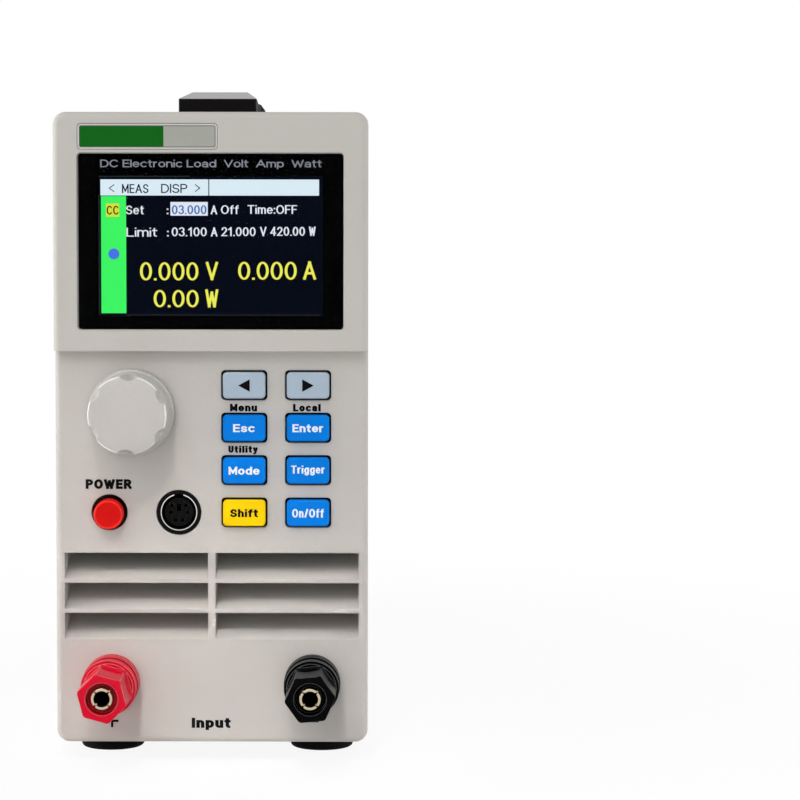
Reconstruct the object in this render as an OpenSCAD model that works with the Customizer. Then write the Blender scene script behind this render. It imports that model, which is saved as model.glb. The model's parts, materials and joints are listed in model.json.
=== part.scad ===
// Bench dc electronic load: moulded front bezel, folded steel case, strap handle.
// Millimetres, +Z up, front towards -Y, origin under the middle of the whole object.
// Depth (d) is counted backwards from the lower panel's face, z upwards from the case bottom.

/* [Front bezel] */
// Width of the bezel
bezel_w = 82; // [81:0.5:86]
// Height of the bezel, without the feet
bezel_h = 165.5; // [165:0.5:170]
// Depth of the bezel's skirt
bezel_d = 14; // [13:0.5:18]
// Thickness of the skirt walls
skirt_t = 2.5; // [2.2:0.1:3]
// Thickness of the panel's front wall
panel_t = 3; // [2.5:0.1:3.5]
// Corner radius seen from the front
corner_r = 3.4; // [3.3:0.1:5]
// Rounding of the front edges
edge_r = 1.6; // [1:0.1:1.6]
// How far the display hood stands out from the lower panel
hood_p = 3; // [2.2:0.1:4]
// Height of the hood
hood_h = 62.1; // [61.5:0.1:63]

/* [Display] */
// Width of the display window
window_w = 69.4; // [66:0.2:71]
// Height of the display window
window_h = 46.1; // [44:0.1:47]
// Distance of the window's top edge below the bezel's top
window_drop = 10.55; // [10.2:0.05:11]
// Thickness of the lens
lens_t = 1.5; // [1:0.1:1.6]
// How far the lens sits below the hood's face
lens_sink = 0.3; // [0.1:0.1:0.4]
// Width of the ledge that carries the lens
lens_ledge = 2; // [1.5:0.1:3]
// Thickness of the display panel
lcd_t = 4.2; // [3:0.1:6]
// Width of the nameplate
plate_w = 36.2; // [30:0.2:40]
// Height of the nameplate
plate_h = 6.5; // [5:0.1:6.6]
// Thickness of the nameplate
plate_t = 0.5; // [0.3:0.1:0.8]

/* [Keys and controls] */
// Width of a key
key_w = 11.1; // [9:0.1:12]
// Height of a key
key_h = 6.9; // [6:0.1:7.5]
// How far a key stands out from the panel
key_p = 1.7; // [1:0.1:2.5]
// Sideways pitch of the keys
key_pitch_x = 16.7; // [16:0.1:17.5]
// Upright pitch of the keys
key_pitch_z = 11.15; // [11:0.05:11.5]
// Gap between a key and its hole
key_gap = 0.5; // [0.25:0.05:0.6]
// Travel of a key
key_travel = 0.8; // [0.4:0.1:1]
// Diameter of the knob at its foot
knob_d = 22.5; // [20:0.1:24]
// Height of the knob
knob_l = 13.5; // [12:0.1:16]
// Number of finger scallops round the knob
knob_scallops = 6; // [5:1:8]
// Diameter of the encoder's shaft
shaft_d = 6; // [5.8:0.05:6.2]
// Diameter of the power button
power_d = 8.3; // [7:0.1:9]
// How far the power button stands out
power_p = 4; // [3:0.1:5]
// Travel of the power button
power_travel = 2.6; // [1.5:0.1:2.8]
// Diameter of the sense socket's collar
din_d = 11.6; // [11.2:0.1:12]

/* [Vent louvres] */
// Number of louvre rows, where there is room for them
louvre_rows = 3; // [2:1:3]
// Upright pitch of the rows
louvre_pitch = 7.95; // [7:0.05:8.1]
// Thickness of a louvre blade at its front edge
louvre_t = 1.05; // [0.8:0.05:1.4]
// Depth of the blades
louvre_l = 12; // [9:0.5:13]
// Rise of a blade from front to back
louvre_rise = 5.5; // [3:0.1:6]
// Margin beside the vents
louvre_side = 2.3; // [2.3:0.1:6]
// Width of the rib between the two windows
louvre_rib = 2; // [1.5:0.1:3]
// Height of the vents' lower edge
louvre_z = 27.5; // [27:0.1:29]

/* [Binding posts] */
// Distance between the two posts
post_pitch = 52.8; // [50:0.1:54]
// Height of the posts
post_z = 16.1; // [15.5:0.1:17]
// Diameter of the insulating base
post_base_d = 14.8; // [13:0.1:16]
// Thickness of the base in front of the panel
post_base_l = 4.6; // [3:0.1:6]
// Diameter of the plug socket
socket_d = 4; // [3.9:0.05:4.2]
// Depth of the plug socket
socket_l = 20; // [16:0.5:22]
// Outer diameter of the metal tube
tube_d = 5.4; // [5.2:0.1:5.8]
// Thickness of the clamp ring
ring_t = 1.6; // [1:0.1:2.5]
// Length of the screw cap
cap_l = 19.2; // [16:0.1:22]
// Width of the cap across its flats
cap_af = 11.4; // [10.5:0.1:11.8]
// Diameter of the cap's flange
cap_flange_d = 14.4; // [13.6:0.1:15]

/* [Case] */
// Depth of the case from the panel's face to the rear face
case_depth = 280; // [270:1:310]
// Thickness of the cover's sheet
cover_t = 1; // [0.8:0.1:1.2]
// Thickness of the chassis sheet
chassis_t = 1.2; // [1:0.1:1.5]
// Thickness of the rear panel
rear_t = 1.5; // [1.2:0.1:2]
// Bend radius of the cover's top corners
bend_r = 3; // [2:0.1:4]
// Height of the feet
foot_h = 5.2; // [4:0.1:8]
// Diameter of the feet
foot_d = 17; // [15:0.1:19]
// Sideways distance between the feet
foot_pitch = 57; // [50:0.5:58]
// Distance of a foot's centre from the chassis edge
foot_inset = 9.5; // [9.5:0.5:20]

/* [Handle] */
// Length over the end caps
handle_l = 220; // [200:1:224]
// Width of an end cap at its outer end
end_w = 21.2; // [20:0.1:24]
// Width of an end cap at its inner end
end_back_w = 18.8; // [18.4:0.1:20]
// Length of an end cap
end_l = 36; // [32:0.5:40]
// Height of an end cap at its outer end
end_h0 = 5.6; // [5:0.1:6]
// Height of an end cap at its inner end
end_h1 = 8.1; // [8:0.1:9]
// Width of the strap
strap_w = 16; // [14:0.1:16.4]
// Thickness of the strap
strap_t = 3.6; // [3:0.1:3.8]
// Length of the grip
grip_l = 76; // [70:1:84]
// How far the grip lifts
grip_lift = 13; // [8:0.5:13]
// How far the grip stands above the strap's ends
grip_rise = 6; // [5:0.1:7]

/* [Rear] */
// Size of the square fan
fan_w = 60; // [58:0.5:62]
// Thickness of the fan
fan_t = 25; // [20:0.5:30]
// Diameter of the guard's wire
wire_d = 1.8; // [1.5:0.1:2]
// Travel of the voltage selector
selector_travel = 6; // [4:0.5:7]
// Travel of the fuse drawer
drawer_travel = 16; // [10:1:18]
// How far the serial port's shell stands out
dsub_p = 6; // [5:0.1:7]

/* [Hidden] */
$fn = 64;

// Clearances: pieces that seat on each other, pieces that move past each other, turned fits
fit = 0.15;
run = 0.3;
turn_fit = 0.05;
// Overshoot of a cutting tool past the face that it leaves
over = 1;

// Places along the depth
case_inset = 0.3;
case_x = bezel_w / 2 - case_inset;
case_top = bezel_h - case_inset;
inner_x = case_x - cover_t;
inner_top = case_top - cover_t;
lip_l = 6;
lip_t = 1.8;
board_gap = 7;
board_d = panel_t + board_gap;
board_t = 1.6;
rear_d = case_depth - rear_t;
post_reach = post_base_l + ring_t + cap_l + 2 * run;
panel_y = (post_reach - case_depth - dsub_p) / 2;

// Control positions on the panel, from the hood's lower edge and the bezel's sides
hood_z = bezel_h - hood_h;
key_drop = 5.5;
key_inset = 10.15;
key_x0 = bezel_w / 2 - key_inset - key_w / 2 - key_pitch_x;
key_z0 = hood_z - key_drop - key_h / 2;
low_row_z = key_z0 - 3 * key_pitch_z;
knob_inset = 20.15;
knob_drop = 16;
knob_x = -bezel_w / 2 + knob_inset;
knob_z = hood_z - knob_drop;
power_inset = 14.2;
power_x = -bezel_w / 2 + power_inset;
din_shift = 0.5;
din_x = (power_x + key_x0) / 2 + din_shift;
key_r = 1.1;
key_edge = 0.5;
key_flange_t = 1;
key_flange = 1.3;
stem_d = 3;
stem_bite = 0.6;
switch_w = 6;
switch_l = 3.6;
boss_d = 5.6;
boss_inset = 5.5;
board_edge = 0.8;
board_drop = 7.5;
board_z0 = low_row_z - board_drop;
boss_rise = 3;
lower_boss_z = board_z0 + boss_rise;
boss_drop = 4;
upper_boss_z = bezel_h - skirt_t - board_edge - boss_drop;
pin_screw_d = 2.5;
pin_screw_bite = 5;
pin_head_d = 4.6;
window_z = bezel_h - window_drop - window_h / 2;
window_r = 1.2;
hollow_r = corner_r - 1;
lcd_margin = 1.5;
lcd_r = 0.5;
lcd_post_d = 5;
plate_inset = 6.6;
plate_drop = 3.15;
plate_x = -bezel_w / 2 + plate_inset + plate_w / 2;
plate_z = bezel_h - plate_drop - plate_h / 2;
plate_r = 1;

// Encoder, power switch and sense socket
encoder_w = 12.4;
bushing_d = 7;
bushing_l = 5;
nut_af = 10;
nut_t = 2;
washer_d = 12;
washer_t = 0.6;
knob_gap = 0.8;
knob_taper = 0.65;
knob_edge = 1.5;
knob_roof = 1.8;
knob_hollow_d = 15.5;
knob_hollow_l = 4.2;
scallop_r = 4;
scallop_cut = 1.7;
scallop_tilt = 9;
flat_cut = 1.5;
power_edge = 0.8;
power_flange = 1.4;
power_flange_t = 1.2;
plunger_d = 3.6;
plunger_bite = 4;
power_switch_w = 8.6;
power_switch_l = 13;
din_block_w = 12.4;
din_shield_d = 9.7;
din_shield_t = 0.45;
din_insert_d = 7.4;
din_depth = 8.2;
din_pin_d = 1;
din_insert_sink = 0.8;
din_key_w = 2.4;
din_slot_w = 1.2;
din_slot_h = 2;
din_slot_z = 1.2;
block_r = 0.8;

// Vents
louvre_gap = 3;
louvre_w = bezel_w / 2 - louvre_rib / 2 - louvre_side;
louvre_space = low_row_z - din_block_w / 2 - louvre_gap - louvre_z;
louvre_count = min(louvre_rows, floor((louvre_space + louvre_t) / louvre_pitch));

// Binding posts
post_hole_d = 9.4;
post_groove = 0.5;
stud_d = 5;
slit_w = 0.5;
slit_l = 2;
socket_sink = 0.25;
cap_sink_d = 8.3;
cap_sink_l = 4.5;
cap_flange_l = 3;
cap_edge = 0.4;
cap_round = 0.15;
cap_land = 0.3;
flat_l = cap_l - cap_flange_l - cap_land;
scoop_r = 4.6;
scoop_t = 1.1;
scoop_d = flat_l - scoop_r + cap_land;
red_turn = 15.5;
black_turn = -5.5;
washer_l = 2;
post_nut_af = 8;
post_nut_t = 4;
bus_t = 1.5;
bus_w = 10;
bus_drop = 6;
bus_rise_d = 30;
bus_land = 14;

// Chassis and screws
flange_h = 14;
rear_flange_h = 6.6;
screw_d = 3;
head_d = 5.6;
head_t = 1.6;
cover_screw_z = 8;
sunk_head_t = 0.6;
rear_screw_x = 32;
rear_screw_z = (rear_flange_h + chassis_t) / 2;
foot_edge = 1;
foot_sink_d = 8;
foot_sink_l = 3;
lip_screw_x = 12;
cover_screw_inset = 40;
case_screw_l = 4;
bus_gap = 16;

// Heat tunnel and boards
sink_gap = 40;
sink_x = 33;
sink_h = 66;
sink_base = 6;
fin_n = 11;
fin_t = 1.6;
fin_pitch = (2 * sink_x - fin_t) / (fin_n - 1);
sink_d0 = bezel_d + bus_rise_d + bus_gap;
sink_d1 = rear_d - fan_t - sink_gap;
package_w = 15.9;
package_l = 20;
package_t = 5;
lead_w = 1.2;
package_rows = 3;
standoff_h = 13;
standoff_d = 6;
standoff_inset = 6;
power_z = sink_h + standoff_h;
power_board_x = 35;
cap_can_d = 16;
cap_can_l = 28;
can_gap = 4;
can_rim = 2;
can_groove = 1;
core_w = 42;
core_l = 22;
core_h = 36;
winding_h = 21.6;
winding_r = 3;
winding_w = 26;
winding_l = 38;

// Fan
fan_gap = 0.8;
fan_z = chassis_t + rear_flange_h + fan_gap + fan_w / 2;
fan_plate = 4;
fan_wall = 1.8;
duct_t = 1.5;
fan_hole_inset = 5;
fan_hole = fan_w - 2 * fan_hole_inset;
fan_screw_d = 4;
fan_corner = 3;
hub_d = 25;
hub_wall = 2;
hub_plate = 3;
strut_w = 4;
bearing_d = 8;
spindle_d = 3;
blade_n = 7;
blade_t = 1.4;
blade_tilt = 48;
blade_gap = 1.2;
guard_rings = [8, 15, 22, 28];
ring_lift = 1.5;
stay_d = 2.2;
eye_top = (stay_d + wire_d) / 2;

// Rear connectors
inlet_w = 50;
inlet_h = 32;
inlet_t = 3;
inlet_r = 4;
inlet_drop = 11.2;
inlet_z = case_top - inlet_drop - inlet_h / 2;
inlet_body_w = 28.4;
inlet_body_h = 29;
inlet_body_l = 22;
plug_w = 24.6;
plug_h = 17;
plug_chamfer = 5;
plug_depth = 16;
plug_rise = 5.5;
plug_z = inlet_z + plug_rise;
blade_w = 2;
blade_h = 4;
blade_l = 13;
blade_x = 7;
blade_step = 2;
drawer_w = 20.8;
drawer_h = 6;
drawer_bite = 4;
drawer_l = drawer_travel + drawer_bite;
drawer_drop = 9.6;
drawer_z = inlet_z - drawer_drop;
drawer_face = 1;
drawer_wall = 2;
port_drop = 18;
port_z = inlet_z - inlet_h / 2 - port_drop;
selector_x = -19;
selector_w = 31;
selector_h = 15;
selector_t = 1;
selector_r = 2;
selector_body_w = 24;
selector_body_h = 12;
selector_body_l = 14;
slider_w = 8;
slider_h = 7.4;
slider_l = 4;
slider_mark = 1;
dsub_x = 19;
dsub_w = 31;
dsub_h = 12.6;
dsub_t = 1;
dsub_r = 1.5;
dsub_pin_d = 1.1;
dsub_pin_pitch = 2.77;
dsub_pin_row = 1.4;
dsub_shell_w = 16.9;
dsub_shell_h = 8.3;
dsub_lean = 1.4;
dsub_cut = 1.5;
dsub_body_l = 11;
jack_pitch = 25;
jack_af = 4.8;
jack_l = 5;

// Handle
handle_d0 = case_depth / 2 - handle_l / 2;
end_slope = 12;
end_hip = 3;
end_slot_l = 24;
end_screw_x = 5;
end_screw_d = 7.5;
end_screw_l = 3.6;
strap_r = 1;
strap_roof = 0.9;
strap_in = 7;
strap_z = case_top + run + strap_t / 2;
hinge_span = (handle_l - grip_l) / 2 - end_l + strap_in;
strap_angle = atan2(grip_rise, hinge_span);
strap_l = norm([hinge_span, grip_rise]);
grip_z = strap_z + grip_rise;
// Strap's angle when lifted, how far its tail is then drawn out, and the room above it in the end cap
lift_angle = asin((grip_rise + grip_lift) / strap_l);
tail_pull = strap_l * (cos(strap_angle) - cos(lift_angle));
tail_rise = (strap_in - tail_pull) * tan(lift_angle) + strap_t / 2 / cos(lift_angle);
end_slot_h = run + strap_t / 2 + tail_rise + strap_roof;

// Moves to a place given across, backwards and upwards
module at(x = 0, d = 0, z = 0) translate([x, panel_y + d, foot_h + z]) children();
// Front view outline in x and z, from depth d0 to d1
module slab(d0, d1) at(0, d1, 0) rotate([90, 0, 0]) linear_extrude(height = d1 - d0) children();
// Side view outline in depth and z, across from x0 to x1
module strip(x0, x1) at(x0, 0, 0) rotate([90, 0, 90]) linear_extrude(height = x1 - x0) children();
// Plain box between two corners
module block(x0, x1, d0, d1, z0, z1) at(x0, d0, z0) cube([x1 - x0, d1 - d0, z1 - z0]);
// Round bar or hole along the depth
module rod(x, z, d0, d1, dia) at(x, d0, z) rotate([-90, 0, 0]) cylinder(d = dia, h = d1 - d0);
// Round bar or hole straight up
module post(x, d, z0, z1, dia) at(x, d, z0) cylinder(d = dia, h = z1 - z0);
// Radius and depth outline turned about an axis along the depth
module turned(x, z, d = 0) at(x, d, z) rotate([-90, 0, 0]) rotate_extrude() children();
// Hexagon prism along the depth
module hex(x, z, d0, d1, af)
  at(x, d0, z) rotate([-90, 0, 0]) cylinder(d = af / cos(30), h = d1 - d0, $fn = 6);
module both_sides() {
  children();
  mirror([1, 0, 0]) children();
}

// Turned over about the height z
module upside_down(z) translate([0, 0, 2 * (foot_h + z)]) mirror([0, 0, 1]) children();

module rounded(w, h, r) {
  square([w - 2 * r, h], center = true);
  square([w, h - 2 * r], center = true);
  for (x = [-1, 1], z = [-1, 1]) translate([x * (w / 2 - r), z * (h / 2 - r)]) circle(r = r);
}

module rounded_at(x, z, w, h, r) translate([x, z]) rounded(w, h, r);

// Half section of a wall with a round front edge, outwards and backwards from its corner's axis
module soft_section(r, e, depth) {
  square([r - e, depth]);
  translate([0, e]) square([r, depth - e]);
  translate([r - e, e]) circle(r = e);
}

// Quarter turn of that section at a corner
module soft_corner(x, z, d, start, r, e, depth)
  at(x, d, z) rotate([-90, 0, 0]) rotate_extrude(angle = 90, start = start) soft_section(r, e, depth);

// Side of a block, upright from z0 to z1
module soft_side(x, d, z0, z1, r, e, depth)
  at(x, d, z0) linear_extrude(height = z1 - z0) soft_section(r, e, depth);

// Upper edge of a block, across from x0 to x1
module soft_edge(x0, x1, d, z, r, e, depth)
  strip(x0, x1) translate([d, z]) mirror([1, -1, 0]) soft_section(r, e, depth);

// Upper half of a block with round top corners and round front edges, standing on z0
module soft_half(w, z0, z1, d0, d1, r, e) {
  x = w / 2 - r;
  bite = (r - e) / 2;
  block(-x - bite, x + bite, d0, d1, z0, z1 - r + bite);
  soft_edge(-x, x, d0, z1 - r, r, e, d1 - d0);
  both_sides() {
    soft_side(x, d0, z0, z1 - r, r, e, d1 - d0);
    soft_corner(x, z1 - r, d0, 270, r, e, d1 - d0);
  }
}

function key_x(col) = key_x0 + col * key_pitch_x;
function key_z(row) = key_z0 - row * key_pitch_z;
function louvre_floor(row) = louvre_z + (louvre_count - 1 - row) * louvre_pitch;
louvre_top = louvre_floor(0) + louvre_pitch - louvre_t;

// Moulded front

// Outline of the skirt's inside
module skirt_hollow() rounded_at(0, bezel_h / 2, bezel_w - 2 * skirt_t, bezel_h - 2 * skirt_t, hollow_r);

// Ring that plugs into the case
module lip() {
  lip_x = inner_x - fit;
  lip_h = inner_top - chassis_t - 2 * fit;
  lip_mid = (inner_top + chassis_t) / 2;
  slab(bezel_d - skirt_t, bezel_d + lip_l) difference() {
    rounded_at(0, lip_mid, 2 * lip_x, lip_h, bend_r - cover_t);
    rounded_at(0, lip_mid, 2 * (lip_x - lip_t), lip_h - 2 * lip_t, bend_r - cover_t);
  }
}

// Sloping blades and the ribs that carry them
module louvres() {
  half = louvre_w + louvre_rib / 2;
  for (row = [0 : louvre_count - 1]) {
    z = louvre_floor(row);
    strip(-half, half) polygon([[0, z - louvre_t], [0, z], [louvre_l, z + louvre_rise],
      [louvre_l, z + louvre_rise - louvre_t]]);
  }
  block(-louvre_rib / 2, louvre_rib / 2, 0, louvre_l, louvre_z - louvre_t, louvre_top + louvre_t);
  both_sides()
    block(half, half + louvre_rib, panel_t / 2, louvre_l, louvre_z - louvre_t, louvre_top + louvre_t);
}

module board_bosses() {
  both_sides() {
    rod(bezel_w / 2 - boss_inset, lower_boss_z, panel_t / 2, board_d, boss_d);
    rod(bezel_w / 2 - boss_inset, upper_boss_z, panel_t / 2 - hood_p, board_d, boss_d);
  }
}

module panel_holes() {
  for (col = [0, 1], row = [0 : 3])
    slab(-over, panel_t + over)
      rounded_at(key_x(col), key_z(row), key_w + 2 * key_gap, key_h + 2 * key_gap, key_r);
  rod(knob_x, knob_z, -over, panel_t + over, bushing_d + 2 * fit);
  rod(power_x, low_row_z, -over, panel_t + over, power_d + 4 * run);
  rod(din_x, low_row_z, -over, panel_t + over, din_d + 2 * fit);
  both_sides() {
    rod(post_pitch / 2, post_z, -over, panel_t + over, post_hole_d);
    rod(bezel_w / 2 - boss_inset, lower_boss_z, panel_t, board_d + over, pin_screw_d + 2 * turn_fit);
    rod(bezel_w / 2 - boss_inset, upper_boss_z, panel_t, board_d + over, pin_screw_d + 2 * turn_fit);
    post(lip_screw_x, bezel_d + lip_l / 2, 0, chassis_t + fit + lip_t + over, screw_d + 2 * turn_fit);
  }
}

module display_cuts() {
  slab(-hood_p - over, -hood_p + lens_sink + lens_t)
    rounded_at(0, window_z, window_w, window_h, window_r);
  slab(-hood_p, panel_t)
    rounded_at(0, window_z, window_w - 2 * lens_ledge, window_h - 2 * lens_ledge, window_r);
  slab(-hood_p - over, -hood_p + plate_t)
    rounded_at(plate_x, plate_z, plate_w + 2 * fit, plate_h + 2 * fit, plate_r);
}

module front_bezel() color([0.74, 0.71, 0.68]) {
  difference() {
    union() {
      difference() {
        union() {
          soft_half(bezel_w, hood_z, bezel_h, -hood_p, bezel_d, corner_r, edge_r);
          upside_down(hood_z / 2) soft_half(bezel_w, -skirt_t, hood_z, 0, bezel_d, corner_r, edge_r);
        }
        slab(panel_t, bezel_d + over) skirt_hollow();
        slab(panel_t - hood_p, panel_t + over)
          rounded_at(0, bezel_h - hood_h / 2, bezel_w - 2 * skirt_t, hood_h - 2 * skirt_t, hollow_r);
        both_sides()
          block(louvre_rib / 2, louvre_rib / 2 + louvre_w, -over, panel_t + over, louvre_z, louvre_top);
      }
      lip();
      louvres();
      board_bosses();
    }
    panel_holes();
    display_cuts();
  }
}

module nameplate() color([0.1, 0.42, 0.16])
  slab(-hood_p, -hood_p + plate_t) rounded_at(plate_x, plate_z, plate_w, plate_h, plate_r);

module display_lens() color([0.02, 0.02, 0.03])
  slab(-hood_p + lens_sink, -hood_p + lens_sink + lens_t)
    rounded_at(0, window_z, window_w - 2 * fit, window_h - 2 * fit, window_r);

module lcd_module() color([0.1, 0.12, 0.15]) {
  w = window_w - 2 * lcd_margin;
  h = window_h - 2 * lcd_margin;
  d0 = panel_t - hood_p;
  slab(d0, d0 + lcd_t) rounded_at(0, window_z, w, h, lcd_r);
  for (x = [-1, 1], z = [-1, 1])
    rod(x * (w / 2 - lcd_post_d), window_z + z * (h / 2 - lcd_post_d), d0 + lcd_t, board_d, lcd_post_d);
}

module front_board() color([0.05, 0.3, 0.14]) difference() {
  z1 = bezel_h - skirt_t - board_edge;
  slab(board_d, board_d + board_t)
    rounded_at(0, (board_z0 + z1) / 2, bezel_w - 2 * (skirt_t + board_edge), z1 - board_z0, block_r);
  rod(power_x, low_row_z, board_d - over, board_d + board_t + over, plunger_d + 4 * run);
  both_sides() for (z = [lower_boss_z, upper_boss_z])
    rod(bezel_w / 2 - boss_inset, z, board_d - over, board_d + board_t + over, pin_screw_d + 2 * fit);
}

module key_switches() color([0.12, 0.12, 0.12]) for (col = [0, 1], row = [0 : 3]) difference() {
  slab(board_d - switch_l, board_d) rounded_at(key_x(col), key_z(row), switch_w, switch_w, block_r);
  rod(key_x(col), key_z(row), board_d - switch_l - over, board_d - switch_l + stem_bite + key_travel + run,
    stem_d + 2 * run);
}

module key(col, row) {
  x = key_x(col);
  z = key_z(row);
  back = panel_t + fit;
  translate([x, 0, 0]) {
    soft_half(key_w, z, z + key_h / 2, -key_p, back, key_r, key_edge);
    upside_down(z) soft_half(key_w, z, z + key_h / 2, -key_p, back, key_r, key_edge);
  }
  slab(back, back + key_flange_t) rounded_at(x, z, key_w + 2 * key_flange, key_h + 2 * key_flange, key_r);
  rod(x, z, back, board_d - switch_l + stem_bite, stem_d);
}

module left_arrow_key() color([0.65, 0.7, 0.76]) key(0, 0);
module right_arrow_key() color([0.65, 0.7, 0.76]) key(1, 0);
module escape_key() color([0, 0.47, 0.85]) key(0, 1);
module enter_key() color([0, 0.47, 0.85]) key(1, 1);
module mode_key() color([0, 0.47, 0.85]) key(0, 2);
module trigger_key() color([0, 0.47, 0.85]) key(1, 2);
module shift_key() color([1, 0.84, 0]) key(0, 3);
module output_key() color([0, 0.47, 0.85]) key(1, 3);

module encoder_body() color([0.6, 0.62, 0.64]) difference() {
  union() {
    slab(panel_t, board_d) rounded_at(knob_x, knob_z, encoder_w, encoder_w, block_r);
    rod(knob_x, knob_z, -bushing_l, panel_t + over, bushing_d);
  }
  rod(knob_x, knob_z, -bushing_l - over, board_d - over, shaft_d + 2 * turn_fit);
}

module encoder_nut() color([0.75, 0.75, 0.72]) difference() {
  union() {
    rod(knob_x, knob_z, -washer_t, 0, washer_d);
    hex(knob_x, knob_z, -washer_t - nut_t, -washer_t, nut_af);
  }
  rod(knob_x, knob_z, -bushing_l, over, bushing_d + 2 * turn_fit);
}

// Shaft or its bore, with the flat that the knob keys on
module flatted(d0, d1, dia) difference() {
  rod(knob_x, knob_z, d0, d1, dia);
  block(knob_x - dia, knob_x + dia, d0 - over, -knob_gap - knob_hollow_l,
    knob_z + dia / 2 - flat_cut, knob_z + dia);
}

module encoder_shaft() color([0.7, 0.7, 0.7])
  flatted(-knob_gap - knob_l + knob_roof + run, board_d - 2 * over, shaft_d);

module control_knob() color([0.76, 0.74, 0.71]) difference() {
  r0 = knob_d / 2;
  r1 = r0 - knob_taper;
  front = -knob_gap - knob_l;
  turned(knob_x, knob_z) {
    polygon([[0, front], [r1 - knob_edge, front], [r1 - knob_edge, front + knob_edge],
      [r1, front + knob_edge], [r0, -knob_gap], [0, -knob_gap]]);
    translate([r1 - knob_edge, front + knob_edge]) circle(r = knob_edge);
  }
  rod(knob_x, knob_z, -knob_gap - knob_hollow_l, 0, knob_hollow_d);
  flatted(front + knob_roof, 0, shaft_d + 2 * turn_fit);
  for (i = [0 : knob_scallops - 1])
    at(knob_x, front, knob_z) rotate([0, i * 360 / knob_scallops, 0])
      translate([0, 0, r1 - scallop_cut + scallop_r]) rotate([-90 + scallop_tilt, 0, 0])
        translate([0, 0, -over]) cylinder(r = scallop_r, h = knob_l + over);
}

module power_switch() color([0.15, 0.15, 0.16]) difference() {
  d0 = board_d + board_t;
  slab(d0, d0 + power_switch_l) rounded_at(power_x, low_row_z, power_switch_w, power_switch_w, block_r);
  rod(power_x, low_row_z, d0 - over, d0 + plunger_bite + power_travel + run, plunger_d + 2 * run);
}

module power_button() color([0.88, 0.04, 0]) {
  r = power_d / 2;
  back = panel_t + fit;
  turned(power_x, low_row_z) {
    translate([0, -power_p]) square([r - power_edge, power_p + back]);
    translate([0, -power_p + power_edge]) square([r, power_p - power_edge + back]);
    translate([r - power_edge, -power_p + power_edge]) circle(r = power_edge);
    translate([0, back]) square([r + power_flange, power_flange_t]);
  }
  rod(power_x, low_row_z, back, board_d + board_t + plunger_bite, plunger_d);
}

// Places of the sense socket's contacts, two upper, two outer, two lower
din_pins = [[-1.8, 1.7], [1.8, 1.7], [-2.2, -0.1], [2.2, -0.1], [-0.9, -2.1], [0.9, -2.1]];

module sense_socket() color([0.08, 0.08, 0.08]) difference() {
  union() {
    rod(din_x, low_row_z, 0, panel_t + over, din_d);
    slab(panel_t, board_d) rounded_at(din_x, low_row_z, din_block_w, din_block_w, block_r);
  }
  rod(din_x, low_row_z, -over, din_depth, din_shield_d + 2 * turn_fit);
}

// Insulator with the contact holes and the key slot
module sense_insert() color([0.08, 0.08, 0.08]) difference() {
  rod(din_x, low_row_z, din_insert_sink, din_depth, din_insert_d);
  for (p = din_pins) rod(din_x + p[0], low_row_z + p[1], 0, din_depth - over, din_pin_d);
  block(din_x - din_slot_w / 2, din_x + din_slot_w / 2, 0, din_depth - over,
    low_row_z + din_slot_z - din_slot_h / 2, low_row_z + din_slot_z + din_slot_h / 2);
}

module sense_shield() color([0.8, 0.8, 0.78]) difference() {
  r = din_shield_d / 2;
  turned(din_x, low_row_z) translate([r - din_shield_t, fit]) square([din_shield_t, din_depth - fit]);
  block(din_x - din_key_w / 2, din_x + din_key_w / 2, -over, din_depth - over,
    low_row_z, low_row_z + 2 * r);
}

// Binding posts

module post_base(side) difference() {
  x = side * post_pitch / 2;
  r = post_base_d / 2;
  union() {
    turned(x, post_z) {
      translate([0, -post_base_l]) square([r - post_groove, post_base_l]);
      translate([0, -post_base_l / 2]) square([r, post_base_l / 2]);
      translate([0, -post_base_l]) square([r, post_base_l / 4]);
    }
    rod(x, post_z, -over, panel_t, post_hole_d - 2 * fit);
  }
  rod(x, post_z, -post_base_l - over, panel_t + over, tube_d + 2 * turn_fit);
}

// Metal stud: plug socket with slit mouth in front, threaded end behind
module post_stud(side) difference() {
  x = side * post_pitch / 2;
  front = -post_reach + socket_sink;
  union() {
    rod(x, post_z, front, panel_t, tube_d);
    rod(x, post_z, 0, panel_t + washer_l + 2 * post_nut_t + bus_t + 2, stud_d);
  }
  rod(x, post_z, front - over, front + socket_l, socket_d);
  at(x, front - over, post_z) for (turn = [45, 135]) rotate([0, turn, 0])
    translate([-tube_d, 0, -slit_w / 2]) cube([2 * tube_d, slit_l + over, slit_w]);
}

module clamp_ring(side) difference() {
  x = side * post_pitch / 2;
  front = -post_base_l - run - ring_t;
  rod(x, post_z, front, front + ring_t, post_base_d - 2 * post_groove);
  rod(x, post_z, front - over, front + ring_t + over, tube_d + 2 * turn_fit);
}

// What is cut away over one flat, from the cap's front: the flat itself and a finger hollow in it
module flat_cutter() {
  translate([-cap_af, -over, cap_af / 2]) cube([2 * cap_af, flat_l + over, cap_af]);
  translate([0, scoop_d, cap_af / 2 + scoop_r - scoop_t]) sphere(r = scoop_r);
}

// Hex cap with a finger hollow in each flat and a round flange behind
module post_cap(side, turn) {
  x = side * post_pitch / 2;
  back = -post_reach + cap_l;
  corner = cap_af / 2 / cos(30) - cap_round;
  difference() {
    turned(x, post_z, -post_reach) {
      square([corner - cap_edge, cap_l]);
      translate([0, cap_edge]) square([corner, cap_l - cap_edge]);
      translate([corner - cap_edge, cap_edge]) circle(r = cap_edge);
      translate([0, cap_l - cap_flange_l]) square([cap_flange_d / 2, cap_flange_l]);
    }
    rod(x, post_z, -post_reach - over, back + over, tube_d + 2 * turn_fit);
    rod(x, post_z, -post_reach - over, -post_reach + cap_sink_l, cap_sink_d);
    for (i = [0 : 5])
      at(x, -post_reach, post_z) rotate([0, turn + i * 60, 0]) flat_cutter();
  }
}

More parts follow.
